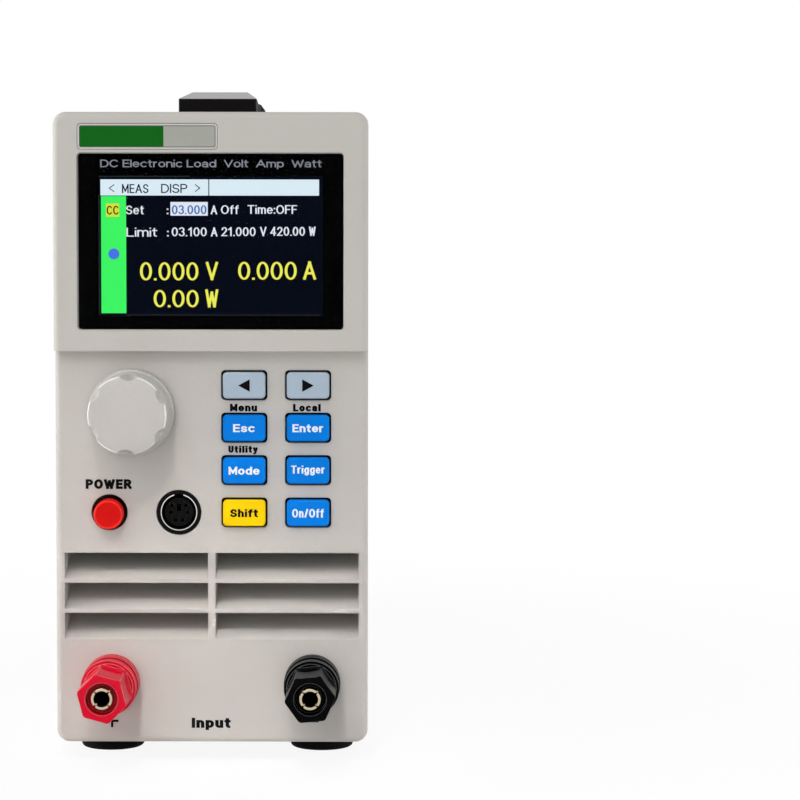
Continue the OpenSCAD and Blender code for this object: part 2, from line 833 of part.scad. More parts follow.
module positive_post_base() color([0.8, 0.05, 0.16]) post_base(-1);
module positive_post_stud() color([0.78, 0.76, 0.7]) post_stud(-1);
module positive_clamp_ring() color([0.8, 0.05, 0.16]) clamp_ring(-1);
module positive_post_cap() color([0.84, 0.05, 0.16]) post_cap(-1, red_turn);
module negative_post_base() color([0.07, 0.07, 0.07]) post_base(1);
module negative_post_stud() color([0.78, 0.76, 0.7]) post_stud(1);
module negative_clamp_ring() color([0.07, 0.07, 0.07]) clamp_ring(1);
module negative_post_cap() color([0.07, 0.07, 0.07]) post_cap(1, black_turn);

bus_d = panel_t + washer_l + post_nut_t;

module post_nuts() color([0.75, 0.73, 0.68]) both_sides() difference() {
  x = post_pitch / 2;
  union() {
    rod(x, post_z, panel_t, panel_t + washer_l, post_base_d - 2 * post_groove);
    hex(x, post_z, panel_t + washer_l, bus_d, post_nut_af);
    hex(x, post_z, bus_d + bus_t, bus_d + bus_t + post_nut_t, post_nut_af);
  }
  rod(x, post_z, panel_t - over, bus_d + bus_t + post_nut_t + over, stud_d + 2 * turn_fit);
}

// Copper strip from a post's nut up to the power board
module busbar(side) difference() {
  x = side * post_pitch / 2;
  knee_z = post_z + bus_drop;
  rise_d = bezel_d + bus_rise_d;
  land_z = power_z + board_t;
  strip(x - bus_w / 2, x + bus_w / 2) {
    translate([bus_d, post_z - bus_drop]) square([bus_t, 2 * bus_drop + bus_t]);
    translate([bus_d, knee_z]) square([rise_d - bus_d + bus_t, bus_t]);
    translate([rise_d, knee_z]) square([bus_t, land_z - knee_z + bus_t]);
    translate([rise_d, land_z]) square([sink_d0 + bus_land - rise_d, bus_t]);
  }
  rod(x, post_z, bus_d - over, bus_d + bus_t + over, stud_d + 2 * fit);
}

module positive_busbar() color([0.75, 0.42, 0.25]) busbar(-1);
module negative_busbar() color([0.75, 0.42, 0.25]) busbar(1);

// Case

cover_screw_d = [bezel_d + cover_screw_inset, case_depth / 2, case_depth - cover_screw_inset];
foot_places = [bezel_d + fit + foot_inset, case_depth - foot_inset];
flange_x = inner_x - fit;

// Hole or screw shank across the side walls
module side_bore(d, dia, x0, x1) at(x0, d, cover_screw_z) rotate([0, 90, 0]) cylinder(d = dia, h = x1 - x0);

module chassis() color([0.62, 0.62, 0.6]) difference() {
  union() {
    block(-flange_x, flange_x, bezel_d + fit, case_depth, 0, chassis_t);
    both_sides() block(flange_x - chassis_t, flange_x, bezel_d + lip_l + over, rear_d - fit, 0, flange_h);
    block(-flange_x + head_t, flange_x - head_t, rear_d - chassis_t, rear_d, 0, rear_flange_h);
  }
  both_sides() {
    for (d = cover_screw_d) side_bore(d, screw_d + 2 * turn_fit, flange_x - 2 * chassis_t, flange_x + over);
    for (d = foot_places) post(foot_pitch / 2, d, -over, chassis_t + over, screw_d + 2 * turn_fit);
    post(lip_screw_x, bezel_d + lip_l / 2, -over, chassis_t + over, screw_d + 2 * fit);
    rod(rear_screw_x, rear_screw_z, rear_d - 2 * chassis_t, rear_d + over, screw_d + 2 * turn_fit);
  }
}

// Folded cover, open below and at both ends
module cover() color([0.7, 0.7, 0.68]) difference() {
  slab(bezel_d + fit, case_depth) difference() {
    arch(case_x, case_top, bend_r);
    translate([0, -over]) arch(inner_x, inner_top + over, bend_r - cover_t);
  }
  both_sides() {
    for (d = cover_screw_d) {
      side_bore(d, screw_d + 2 * fit, inner_x - over, case_x + over);
      side_bore(d, head_d + 2 * fit, case_x - sunk_head_t, case_x + over);
    }
    for (d = end_screw_places) post(end_screw_x, d, inner_top - over, case_top + over, screw_d + 2 * fit);
  }
}

// Upright rectangle with its two top corners round
module arch(half, top, r) {
  translate([-half, 0]) square([2 * half, top - r]);
  translate([-half + r, 0]) square([2 * (half - r), top]);
  for (s = [-1, 1]) translate([s * (half - r), top - r]) circle(r = r);
}

module rear_panel() color([0.7, 0.7, 0.68]) {
  x = inner_x - fit;
  top = inner_top - fit;
  slab(rear_d, case_depth) difference() {
    translate([0, chassis_t]) arch(x, top - chassis_t, bend_r - cover_t);
    translate([0, fan_z]) circle(d = fan_w - 2 * fan_wall);
    for (i = [-1, 1], j = [-1, 1])
      translate([i * fan_hole / 2, fan_z + j * fan_hole / 2]) circle(d = fan_screw_d + 2 * fit);
    translate([0, inlet_z]) square([inlet_body_w + 2 * fit, inlet_body_h + 2 * fit], center = true);
    translate([selector_x, port_z])
      square([selector_body_w + 2 * fit, selector_body_h + 2 * fit], center = true);
    translate([dsub_x, port_z])
      square([dsub_shell_w + 2 * dsub_lean, dsub_shell_h + 2 * dsub_lean], center = true);
    for (s = [-1, 1]) translate([s * rear_screw_x, rear_screw_z]) circle(d = screw_d + 2 * fit);
  }
}

// Rubber foot with a sunk screw
module foot(x, d) at(x, d, -foot_h) difference() {
  rotate_extrude() {
    r = foot_d / 2;
    square([r - foot_edge, foot_h]);
    translate([0, foot_edge]) square([r, foot_h - foot_edge]);
    translate([r - foot_edge, foot_edge]) circle(r = foot_edge);
  }
  translate([0, 0, -over]) cylinder(d = foot_sink_d, h = foot_sink_l + over);
  translate([0, 0, -over]) cylinder(d = screw_d + 2 * fit, h = foot_h + 2 * over);
}

module feet() color([0.05, 0.05, 0.05]) for (s = [-1, 1], d = foot_places) foot(s * foot_pitch / 2, d);

// Pan-head screw, head face at the origin, pointing up
module screw(dia, length, head, thick) {
  cylinder(d = dia, h = length);
  translate([0, 0, -thick]) cylinder(d = head, h = thick);
}

module foot_screws() color([0.7, 0.7, 0.68]) for (s = [-1, 1], d = foot_places)
  at(s * foot_pitch / 2, d, -foot_h + foot_sink_l)
    screw(screw_d, foot_h - foot_sink_l + chassis_t + over, head_d, head_t);

// Screws of the cover, the rear panel, the bezel's lip and the handle's end caps
module case_screws() color([0.68, 0.68, 0.66]) both_sides() {
  for (d = cover_screw_d)
    at(case_x - sunk_head_t, d, cover_screw_z) rotate([0, -90, 0])
      screw(screw_d, case_screw_l, head_d, sunk_head_t);
  at(rear_screw_x, case_depth, rear_screw_z) rotate([90, 0, 0])
    screw(screw_d, rear_t + chassis_t + over, head_d, head_t);
  at(lip_screw_x, bezel_d + lip_l / 2, 0) screw(screw_d, chassis_t + fit + lip_t, head_d, head_t);
  for (d = end_screw_places)
    at(end_screw_x, d, inner_top) screw(screw_d, cover_t + end_screw_l, head_d, head_t);
}

module panel_screws() color([0.68, 0.68, 0.66]) both_sides() for (z = [lower_boss_z, upper_boss_z])
  at(bezel_w / 2 - boss_inset, board_d + board_t, z) rotate([90, 0, 0])
    screw(pin_screw_d, board_t + pin_screw_bite, pin_head_d, head_t);

// Strap handle

end_screw_places = [handle_d0 + end_screw_d, case_depth - handle_d0 - end_screw_d];

// Front half of a pair that is mirrored about the middle of the case's depth
module mirrored_depth() {
  children();
  translate([0, 2 * panel_y + case_depth, 0]) mirror([0, 1, 0]) children();
}

module end_cap() difference() {
  z = case_top;
  w = end_w / 2;
  intersection() {
    at(0, handle_d0, z) linear_extrude(height = end_h1)
      polygon([[-w, 0], [w, 0], [end_back_w / 2, end_l], [-end_back_w / 2, end_l]]);
    strip(-w, w) translate([handle_d0, z])
      polygon([[0, 0], [0, end_h0], [end_slope, end_h1], [end_l, end_h1], [end_l, 0]]);
    slab(handle_d0, handle_d0 + end_l) translate([0, z])
      polygon([[-w, 0], [-w, end_h0], [-w + end_hip, end_h1], [w - end_hip, end_h1], [w, end_h0], [w, 0]]);
  }
  block(-strap_w / 2 - run, strap_w / 2 + run, handle_d0 + end_l - end_slot_l, handle_d0 + end_l + over,
    z - over, z + end_slot_h);
  both_sides()
    post(end_screw_x, handle_d0 + end_screw_d, z - over, z + end_screw_l + run, screw_d + 2 * turn_fit);
}

module handle_end_caps() color([0.06, 0.06, 0.06]) mirrored_depth() end_cap();

grip_d0 = case_depth / 2 - grip_l / 2;

module handle_grip() color([0.06, 0.06, 0.06]) difference() {
  slab(grip_d0, grip_d0 + grip_l) rounded_at(0, grip_z, strap_w, strap_t, strap_r);
  mirrored_depth() at(-strap_w, grip_d0, grip_z)
    rotate([0, 90, 0]) cylinder(d = strap_t + 2 * run, h = 2 * strap_w);
}

// Strap end from its hinge at the grip down to its round tail inside the end cap
module strap_link() at(-strap_w / 2, grip_d0, grip_z) rotate([strap_angle, 0, 0])
  rotate([90, 0, 90]) linear_extrude(height = strap_w) {
    translate([-strap_l, -strap_t / 2]) square([strap_l, strap_t]);
    for (end = [0, -strap_l]) translate([end, 0]) circle(d = strap_t);
  }

module handle_front_link() color([0.06, 0.06, 0.06]) strap_link();
module handle_rear_link() color([0.06, 0.06, 0.06])
  translate([0, 2 * panel_y + case_depth, 0]) mirror([0, 1, 0]) strap_link();

// Fan

module fan_frame() color([0.07, 0.07, 0.07]) difference() {
  d0 = rear_d - fan_t;
  bore = fan_w - 2 * fan_wall;
  union() {
    difference() {
      union() {
        slab(d0, d0 + fan_plate) rounded_at(0, fan_z, fan_w, fan_w, fan_corner);
        slab(rear_d - fan_plate, rear_d) rounded_at(0, fan_z, fan_w, fan_w, fan_corner);
        rod(0, fan_z, d0, rear_d, bore + 2 * duct_t);
      }
      rod(0, fan_z, d0 - over, rear_d + over, bore);
    }
    rod(0, fan_z, rear_d - hub_plate, rear_d, hub_d);
    slab(rear_d - hub_plate, rear_d) intersection() {
      translate([0, fan_z]) circle(d = bore + fan_wall);
      translate([0, fan_z]) for (turn = [0, 90]) rotate(turn) square([fan_w, strut_w], center = true);
    }
    rod(0, fan_z, d0 + hub_wall + 2 * blade_gap, rear_d, bearing_d);
  }
  for (i = [-1, 1], j = [-1, 1])
    rod(i * fan_hole / 2, fan_z + j * fan_hole / 2, d0 - over, rear_d + over, fan_screw_d + 2 * turn_fit);
  rod(0, fan_z, d0 - over, rear_d - over, spindle_d + 2 * turn_fit);
}

module fan_rotor() color([0.09, 0.09, 0.09]) {
  d0 = rear_d - fan_t + blade_gap;
  d1 = rear_d - hub_plate - blade_gap;
  tip = fan_w / 2 - fan_wall - blade_gap;
  difference() {
    rod(0, fan_z, d0, d1, hub_d);
    rod(0, fan_z, d0 + hub_wall, d1 + over, hub_d - 2 * hub_wall);
  }
  rod(0, fan_z, d0, rear_d - 2 * over, spindle_d);
  intersection() {
    root = (hub_d - hub_wall) / 2;
    turned(0, fan_z) translate([root, d0]) square([tip - root, d1 - d0]);
    at(0, (d0 + d1) / 2, fan_z) for (i = [0 : blade_n - 1]) rotate([0, i * 360 / blade_n, 0])
      translate([tip / 2 + hub_d / 4, 0, 0]) rotate([blade_tilt, 0, 0])
        cube([tip, 2 * (d1 - d0), blade_t], center = true);
  }
}

// Welded wire guard: rings on two crossing wires with screw eyes
module fan_guard() color([0.75, 0.75, 0.74]) {
  r = wire_d / 2;
  d = case_depth + stay_d / 2;
  reach = fan_hole / 2 * sqrt(2);
  eye = fan_screw_d / 2 + fit + r;
  for (radius = guard_rings) turned(0, fan_z, d + ring_lift) translate([radius, 0]) circle(r = r);
  for (turn = [45 : 90 : 315]) at(0, d, fan_z) rotate([0, turn, 0]) {
    translate([guard_rings[0], 0, 0])
      rotate([0, 90, 0]) cylinder(d = stay_d, h = reach - eye - guard_rings[0]);
    translate([reach, 0, 0]) rotate([-90, 0, 0]) rotate_extrude() translate([eye, 0]) circle(r = r);
  }
}

module fan_screws() color([0.7, 0.7, 0.68]) for (i = [-1, 1], j = [-1, 1])
  at(i * fan_hole / 2, case_depth + eye_top, fan_z + j * fan_hole / 2) rotate([90, 0, 0])
    screw(fan_screw_d, eye_top + rear_t + fan_plate, fan_screw_d * 2, head_t);

// Inside

module heatsink() color([0.66, 0.68, 0.7]) slab(sink_d0, sink_d1) {
  translate([-sink_x, sink_h - sink_base]) square([2 * sink_x, sink_base]);
  for (i = [0 : fin_n - 1])
    translate([-sink_x + i * fin_pitch, chassis_t]) square([fin_t, sink_h - chassis_t]);
}

// Flat power package with three legs bent up to the board
module package(x, d) {
  block(x - package_w / 2, x + package_w / 2, d, d + package_l, sink_h, sink_h + package_t);
  for (i = [-1, 0, 1]) {
    lead = x + i * package_w / 3;
    mid = sink_h + package_t / 2;
    block(lead - lead_w / 2, lead + lead_w / 2, d - 3 * lead_w, d, mid, mid + lead_w);
    block(lead - lead_w / 2, lead + lead_w / 2, d - 3 * lead_w, d - 2 * lead_w, mid, power_z);
  }
}

package_pitch = (sink_d1 - sink_d0 - 2 * standoff_inset - standoff_d) / package_rows;

module power_transistors() color([0.1, 0.1, 0.1]) for (s = [-1, 1], i = [0 : package_rows - 1])
  package(s * sink_x / 2, sink_d0 + 2 * standoff_inset + (i + 0.15) * package_pitch);

standoff_places = [sink_d0 + standoff_inset, sink_d1 - standoff_inset];

module power_board() color([0.05, 0.3, 0.14])
  block(-power_board_x, power_board_x, sink_d0 - over, sink_d1 + over, power_z, power_z + board_t);

module board_standoffs() color([0.78, 0.65, 0.35]) both_sides() for (d = standoff_places)
  post(sink_x - standoff_inset, d, sink_h, power_z, standoff_d);

// Electrolytic cans with a crimp ring
module capacitors() color([0.1, 0.12, 0.3]) for (i = [-1, 0, 1])
  at(i * (cap_can_d + can_gap), (sink_d0 + sink_d1) / 2, power_z + board_t) rotate_extrude() {
    r = cap_can_d / 2;
    square([r - can_groove, cap_can_l]);
    square([r, can_rim]);
    translate([0, can_rim + can_groove]) square([r, cap_can_l - can_rim - can_groove]);
  }

module transformer() color([0.4, 0.3, 0.2]) {
  d = sink_d1 - winding_l / 2 - over;
  z = power_z + board_t;
  block(-core_w / 2, core_w / 2, d - core_l / 2, d + core_l / 2, z, z + core_h);
  slab(d - winding_l / 2, d + winding_l / 2) rounded_at(0, z + core_h / 2, winding_w, winding_h, winding_r);
}

// Rear connectors

// Plug opening with two cut corners
module plug_outline() translate([0, plug_z]) polygon([
  [-plug_w / 2, -plug_h / 2], [plug_w / 2, -plug_h / 2], [plug_w / 2, plug_h / 2 - plug_chamfer],
  [plug_w / 2 - plug_chamfer, plug_h / 2], [-plug_w / 2 + plug_chamfer, plug_h / 2],
  [-plug_w / 2, plug_h / 2 - plug_chamfer]]);

module mains_inlet() color([0.06, 0.06, 0.06]) {
  face = case_depth + inlet_t;
  difference() {
    union() {
      slab(case_depth, face) rounded_at(0, inlet_z, inlet_w, inlet_h, inlet_r);
      block(-inlet_body_w / 2, inlet_body_w / 2, face - inlet_body_l, face,
        inlet_z - inlet_body_h / 2, inlet_z + inlet_body_h / 2);
    }
    slab(face - plug_depth, face + over) plug_outline();
    block(-drawer_w / 2 - run, drawer_w / 2 + run, face - drawer_l - run, face + over,
      drawer_z - drawer_h / 2 - run, drawer_z + drawer_h / 2 + run);
  }
  for (i = [-1, 0, 1]) {
    z = plug_z + (i == 0 ? blade_step : -blade_step);
    block(i * blade_x - blade_w / 2, i * blade_x + blade_w / 2,
      face - plug_depth, face - plug_depth + blade_l, z - blade_h / 2, z + blade_h / 2);
  }
}

module fuse_drawer() color([0.1, 0.1, 0.1]) difference() {
  face = case_depth + inlet_t;
  block(-drawer_w / 2, drawer_w / 2, face - drawer_l, face + drawer_face,
    drawer_z - drawer_h / 2, drawer_z + drawer_h / 2);
  block(-drawer_w / 4, drawer_w / 4, face - drawer_l + drawer_wall, face - drawer_wall,
    drawer_z - drawer_h / 2 + drawer_wall, drawer_z + drawer_h);
}

module voltage_selector() color([0.08, 0.08, 0.08]) difference() {
  face = case_depth + selector_t;
  union() {
    slab(case_depth, face) rounded_at(selector_x, port_z, selector_w, selector_h, selector_r);
    block(selector_x - selector_body_w / 2, selector_x + selector_body_w / 2, face - selector_body_l, face,
      port_z - selector_body_h / 2, port_z + selector_body_h / 2);
  }
  half = (slider_w + selector_travel) / 2 + run;
  block(selector_x - half, selector_x + half, face - slider_l - run, face + over,
    port_z - slider_h / 2 - run, port_z + slider_h / 2 + run);
}

module selector_slider() color([0.75, 0.05, 0.05]) difference() {
  face = case_depth + selector_t;
  x = selector_x - selector_travel / 2;
  h = slider_h / 2;
  block(x - slider_w / 2, x + slider_w / 2, face - slider_l, face, port_z - h, port_z + h);
  block(x - slider_mark / 2, x + slider_mark / 2, face - slider_mark, face + over,
    port_z - h + slider_mark, port_z + h - slider_mark);
}

module dsub_outline() translate([dsub_x, port_z]) {
  w = dsub_shell_w / 2;
  h = dsub_shell_h / 2;
  low = w - dsub_lean;
  c = dsub_cut;
  polygon([[-w + c, h], [w - c, h], [w, h - c], [low, -h + c],
    [low - c, -h], [-low + c, -h], [-low, -h + c], [-w, h - c]]);
}

// Hole of one contact, counted from the middle of its row
module dsub_pin(i, z)
  rod(dsub_x + i * dsub_pin_pitch, port_z + z, case_depth + over, case_depth + dsub_p + over, dsub_pin_d);

module serial_port() color([0.72, 0.72, 0.7]) difference() {
  union() {
    slab(case_depth, case_depth + dsub_t) rounded_at(dsub_x, port_z, dsub_w, dsub_h, dsub_r);
    slab(case_depth - dsub_body_l, case_depth + dsub_p) dsub_outline();
    for (s = [-1, 1]) hex(dsub_x + s * jack_pitch / 2, port_z, case_depth, case_depth + jack_l, jack_af);
  }
  for (s = [-1, 1])
    rod(dsub_x + s * jack_pitch / 2, port_z, case_depth + dsub_t, case_depth + jack_l + over, screw_d);
  for (i = [-2 : 2]) dsub_pin(i, dsub_pin_row);
  for (i = [-1.5 : 1.5]) dsub_pin(i, -dsub_pin_row);
}

front_bezel();
nameplate();
display_lens();
lcd_module();
front_board();
key_switches();
left_arrow_key();
right_arrow_key();
escape_key();
enter_key();
mode_key();
trigger_key();
shift_key();
output_key();
encoder_body();
encoder_nut();
encoder_shaft();
control_knob();
power_switch();
power_button();
sense_socket();
sense_insert();
sense_shield();
positive_post_base();
positive_post_stud();
positive_clamp_ring();
positive_post_cap();
negative_post_base();
negative_post_stud();
negative_clamp_ring();
negative_post_cap();
post_nuts();
positive_busbar();
negative_busbar();
chassis();
cover();
rear_panel();
feet();
foot_screws();
case_screws();
panel_screws();
handle_end_caps();
handle_grip();
handle_front_link();
handle_rear_link();
fan_frame();
fan_rotor();
fan_guard();
fan_screws();
heatsink();
power_transistors();
power_board();
board_standoffs();
capacitors();
transformer();
mains_inlet();
fuse_drawer();
voltage_selector();
selector_slider();
serial_port();
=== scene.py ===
import json
import math

import bmesh
import bpy
from mathutils import Matrix, Vector


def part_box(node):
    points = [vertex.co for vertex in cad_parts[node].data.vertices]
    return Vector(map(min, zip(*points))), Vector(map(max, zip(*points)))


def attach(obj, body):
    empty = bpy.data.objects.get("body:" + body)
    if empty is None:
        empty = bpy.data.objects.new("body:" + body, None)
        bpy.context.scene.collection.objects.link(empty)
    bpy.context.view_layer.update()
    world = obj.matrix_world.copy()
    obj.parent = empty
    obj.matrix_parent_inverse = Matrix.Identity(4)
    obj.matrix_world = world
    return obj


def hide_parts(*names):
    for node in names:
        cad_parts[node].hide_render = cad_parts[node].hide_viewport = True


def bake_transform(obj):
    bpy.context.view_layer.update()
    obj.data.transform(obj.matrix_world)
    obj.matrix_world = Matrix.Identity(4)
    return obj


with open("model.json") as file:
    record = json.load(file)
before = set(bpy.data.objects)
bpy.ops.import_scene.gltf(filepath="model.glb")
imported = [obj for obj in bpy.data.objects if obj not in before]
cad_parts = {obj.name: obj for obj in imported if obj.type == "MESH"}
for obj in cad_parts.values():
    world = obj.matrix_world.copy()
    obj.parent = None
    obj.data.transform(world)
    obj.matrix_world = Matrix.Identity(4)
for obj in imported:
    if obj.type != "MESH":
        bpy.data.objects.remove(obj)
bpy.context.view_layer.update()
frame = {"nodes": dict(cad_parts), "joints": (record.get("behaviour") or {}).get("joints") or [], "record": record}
scene = bpy.context.scene
nodes = frame["nodes"]
mm = 0.001
print("frame loaded,", len(nodes), "solids")

# Camera

cameraPlan = {
    "aim": (0.0, -0.130, 0.0882),  # middle of the panel
    "distance": 0.658,
    "azimuth": 3.587,
    "elevation": 4.04,
    "pan": -3.3957,  # turn away from the aim, so that the load stands left of the middle
    "tilt": -0.6548,
    "roll": 0.0725,
    "lens": 112.848,
    "sensor": 36.0,
    "shiftX": 0.05,
    "near": 0.01,
}


def heading(turn, rise):
    return Vector((math.sin(turn) * math.cos(rise), -math.cos(turn) * math.cos(rise), math.sin(rise)))


def placeCamera(plan):
    angles = [math.radians(plan[k]) for k in ("azimuth", "elevation", "pan", "tilt", "roll")]
    azimuth, elevation, pan, tilt, roll = angles
    yaw = azimuth + pan
    forward = -heading(yaw, elevation + tilt)
    level = Vector((math.cos(yaw), math.sin(yaw), 0.0))
    upright = level.cross(forward)
    right = level * math.cos(roll) + upright * math.sin(roll)
    up = upright * math.cos(roll) - level * math.sin(roll)
    data = bpy.data.cameras.new("photoCamera")
    data.lens = plan["lens"]
    data.sensor_width = plan["sensor"]
    data.shift_x = plan["shiftX"]
    data.clip_start = plan["near"]
    camera = bpy.data.objects.new("photoCamera", data)
    spot = Vector(plan["aim"]) + heading(azimuth, elevation) * plan["distance"]
    turn = Matrix((right, up, -forward)).transposed().to_4x4()
    camera.matrix_world = Matrix.Translation(spot) @ turn
    scene.collection.objects.link(camera)
    scene.camera = camera


placeCamera(cameraPlan)
scene.view_settings.view_transform = "Standard"

# Node maths: a strand is one socket, and sums on strands add Math nodes


class Strand:
    def __init__(self, tree, socket=None):
        self.tree = tree
        self.socket = socket

    def node(self, kind, settings=None, sockets=None, out=0):
        made = self.tree.nodes.new(kind)
        for name, value in (settings or {}).items():
            setattr(made, name, value)
        for name, value in (sockets or {}).items():
            if isinstance(value, Strand):
                self.tree.links.new(value.socket, made.inputs[name])
            else:
                made.inputs[name].default_value = value
        return Strand(self.tree, made.outputs[out]) if made.outputs else Strand(self.tree)

    def sums(self, operation, left, right):
        return self.node("ShaderNodeMath", {"operation": operation}, {0: left, 1: right})

    def __add__(self, other):
        return self.sums("ADD", self, other)

    def __radd__(self, other):
        return self.sums("ADD", other, self)

    def __sub__(self, other):
        return self.sums("SUBTRACT", self, other)

    def __rsub__(self, other):
        return self.sums("SUBTRACT", other, self)

    def __mul__(self, other):
        return self.sums("MULTIPLY", self, other)

    def __rmul__(self, other):
        return self.sums("MULTIPLY", other, self)

    def __gt__(self, other):
        return self.sums("GREATER_THAN", self, other)

    def __lt__(self, other):
        return self.sums("LESS_THAN", self, other)


def shade(red, green, blue):
    def linear(c):
        c /= 255.0
        return c / 12.92 if c <= 0.04045 else ((c + 0.055) / 1.055) ** 2.4

    return (linear(red), linear(green), linear(blue), 1.0)


def toned(colour, share):
    return tuple(min(1.0, c * share) for c in colour[:3]) + (1.0,)


def newFinish(name):
    material = bpy.data.materials.new(name)
    material.use_nodes = True
    material.node_tree.nodes.clear()
    pen = Strand(material.node_tree)
    return material, pen, pen.node("ShaderNodeTexCoord", out="Object")


def finished(material, pen, sockets):
    surface = pen.node("ShaderNodeBsdfPrincipled", {}, sockets)
    pen.node("ShaderNodeOutputMaterial", {}, {"Surface": surface})
    return material


def tint(pen, share, low, high):
    return pen.node("ShaderNodeMix", {"data_type": "RGBA"}, {0: share, 6: low, 7: high}, out=2)


def ramped(pen, value, low, high):
    sockets = {"Value": value, "From Min": low, "From Max": high}
    return pen.node("ShaderNodeMapRange", {"interpolation_type": "SMOOTHSTEP"}, sockets)


def noise(pen, place, scale, detail, rough=0.5):
    sockets = {"Vector": place, "Scale": scale, "Detail": detail, "Roughness": rough}
    return pen.node("ShaderNodeTexNoise", {}, sockets)


def rounded(pen, radius, samples=4):
    return pen.node("ShaderNodeBevel", {"samples": samples}, {"Radius": radius * mm})


def bumped(pen, height, depth, soften):
    sockets = {"Strength": 1.0, "Distance": depth * mm, "Height": height, "Normal": rounded(pen, soften)}
    return pen.node("ShaderNodeBump", {}, sockets)


def vectors(pen, operation, *given, out=0):
    return pen.node("ShaderNodeVectorMath", {"operation": operation}, dict(enumerate(given)), out)


def axisPart(pen, vector, axis):
    return pen.node("ShaderNodeSeparateXYZ", {}, {0: vector}, axis)


# Meshes


def placePiece(name, mesh):
    piece = bpy.data.objects.new(name, mesh)
    scene.collection.objects.link(piece)
    return piece


def meshFrom(build, name):
    bmesh.ops.recalc_face_normals(build, faces=build.faces)
    mesh = bpy.data.meshes.new(name)
    build.to_mesh(mesh)
    build.free()
    return mesh


def evaluated(holder):
    scene.collection.objects.link(holder)
    bpy.context.view_layer.update()
    return bpy.data.meshes.new_from_object(holder.evaluated_get(bpy.context.evaluated_depsgraph_get()))


def anglesRound(count):
    return [math.tau * k / count for k in range(count)]


def wall(build, a, b):
    for k in range(len(a)):
        j = (k + 1) % len(a)
        build.faces.new((a[k], a[j], b[j], b[k]))


def tubeMesh(name, build, rings):
    for a, b in zip(rings, rings[1:]):
        wall(build, a, b)
    build.faces.new(rings[0])
    build.faces.new(rings[-1])
    return meshFrom(build, name)


# Surroundings

studio = {
    "ambient": 0.33,  # world light on the object
    "lamps": {
        # name: place, size and power in watts
        "keyLamp": ((-0.45, -0.95, 1.1), 1.2, 8.8),
        "lowLamp": ((-0.06, -0.7, 0.66), 0.06, 0.012),  # narrow beam on the vents
        "frontLamp": ((-0.2, -1.6, 0.2), 0.9, 2.2),
        "leftLamp": ((-1.35, -0.18, 0.25), 0.8, 13.5),
        "rightLamp": ((1.35, -0.16, 0.25), 0.8, 7.0),
        "rearLamp": ((0.55, 1.25, 0.8), 0.9, 11.0),
    },
    "aim": (0, 0, 0.09),
    "lowAim": (0, -0.13, 0.025),
    "lowSpread": 10.0,
    "white": (1, 1, 1, 1),
    "floorTone": (0.9, 0.9, 0.9, 1),
    "floorSize": 6.0,
    "floorDrop": 0.00012,
    "shadowReach": (0.1, 0.4),  # the floor turns to plain white between these
    "shadowShare": 0.1,
}


def seenAsBackground(pen):
    kinds = ("Is Camera Ray", "Is Glossy Ray", "Is Transmission Ray")
    camera, glossy, through = (pen.node("ShaderNodeLightPath", out=k) for k in kinds)
    return pen.sums("MAXIMUM", pen.sums("MAXIMUM", camera, glossy), through)


def makeWorld(plan):
    world = bpy.data.worlds.new("studioWorld")
    world.use_nodes = True
    world.node_tree.nodes.clear()
    pen = Strand(world.node_tree)
    strength = plan["ambient"] + seenAsBackground(pen) * (1.0 - plan["ambient"])
    sky = pen.node("ShaderNodeBackground", {}, {"Color": plan["white"], "Strength": strength})
    pen.node("ShaderNodeOutputWorld", {}, {"Surface": sky})
    scene.world = world


def makeFloor(plan):
    material, pen, place = newFinish("paleFloor")
    near = 1.0 - ramped(pen, vectors(pen, "LENGTH", place, out="Value"), *plan["shadowReach"])
    plain = seenAsBackground(pen) * (1.0 - near * plan["shadowShare"])
    matt = pen.node("ShaderNodeBsdfDiffuse", {}, {"Color": plan["floorTone"]})
    glow = pen.node("ShaderNodeEmission", {}, {"Color": plan["white"], "Strength": 1.0})
    mixed = pen.node("ShaderNodeMixShader", {}, {0: plain, 1: matt, 2: glow})
    pen.node("ShaderNodeOutputMaterial", {}, {"Surface": mixed})
    half, drop = plan["floorSize"] / 2, -plan["floorDrop"]
    corners = [(-half, -half, drop), (half, -half, drop), (half, half, drop), (-half, half, drop)]
    mesh = bpy.data.meshes.new("floor")
    mesh.from_pydata(corners, [], [(0, 1, 2, 3)])
    mesh.materials.append(material)
    floor = placePiece("floor", mesh)


def hangLamps(plan):
    for name, (spot, size, watts) in plan["lamps"].items():
        data = bpy.data.lights.new(name, "AREA")
        data.shape = "SQUARE"
        data.size = size
        data.energy = watts
        aim = Vector(plan["aim"])
        if name == "lowLamp":
            data.spread = math.radians(plan["lowSpread"])
            aim = Vector(plan["lowAim"])
        lamp = placePiece(name, data)
        lamp.location = spot
        lamp.rotation_euler = (aim - Vector(spot)).to_track_quat("-Z", "Y").to_euler()
        lamp.visible_glossy = name != "rearLamp"


makeWorld(studio)
makeFloor(studio)
hangLamps(studio)
print("studio ready")

# Finishes: names of slots give the names of materials, lengths are in mm

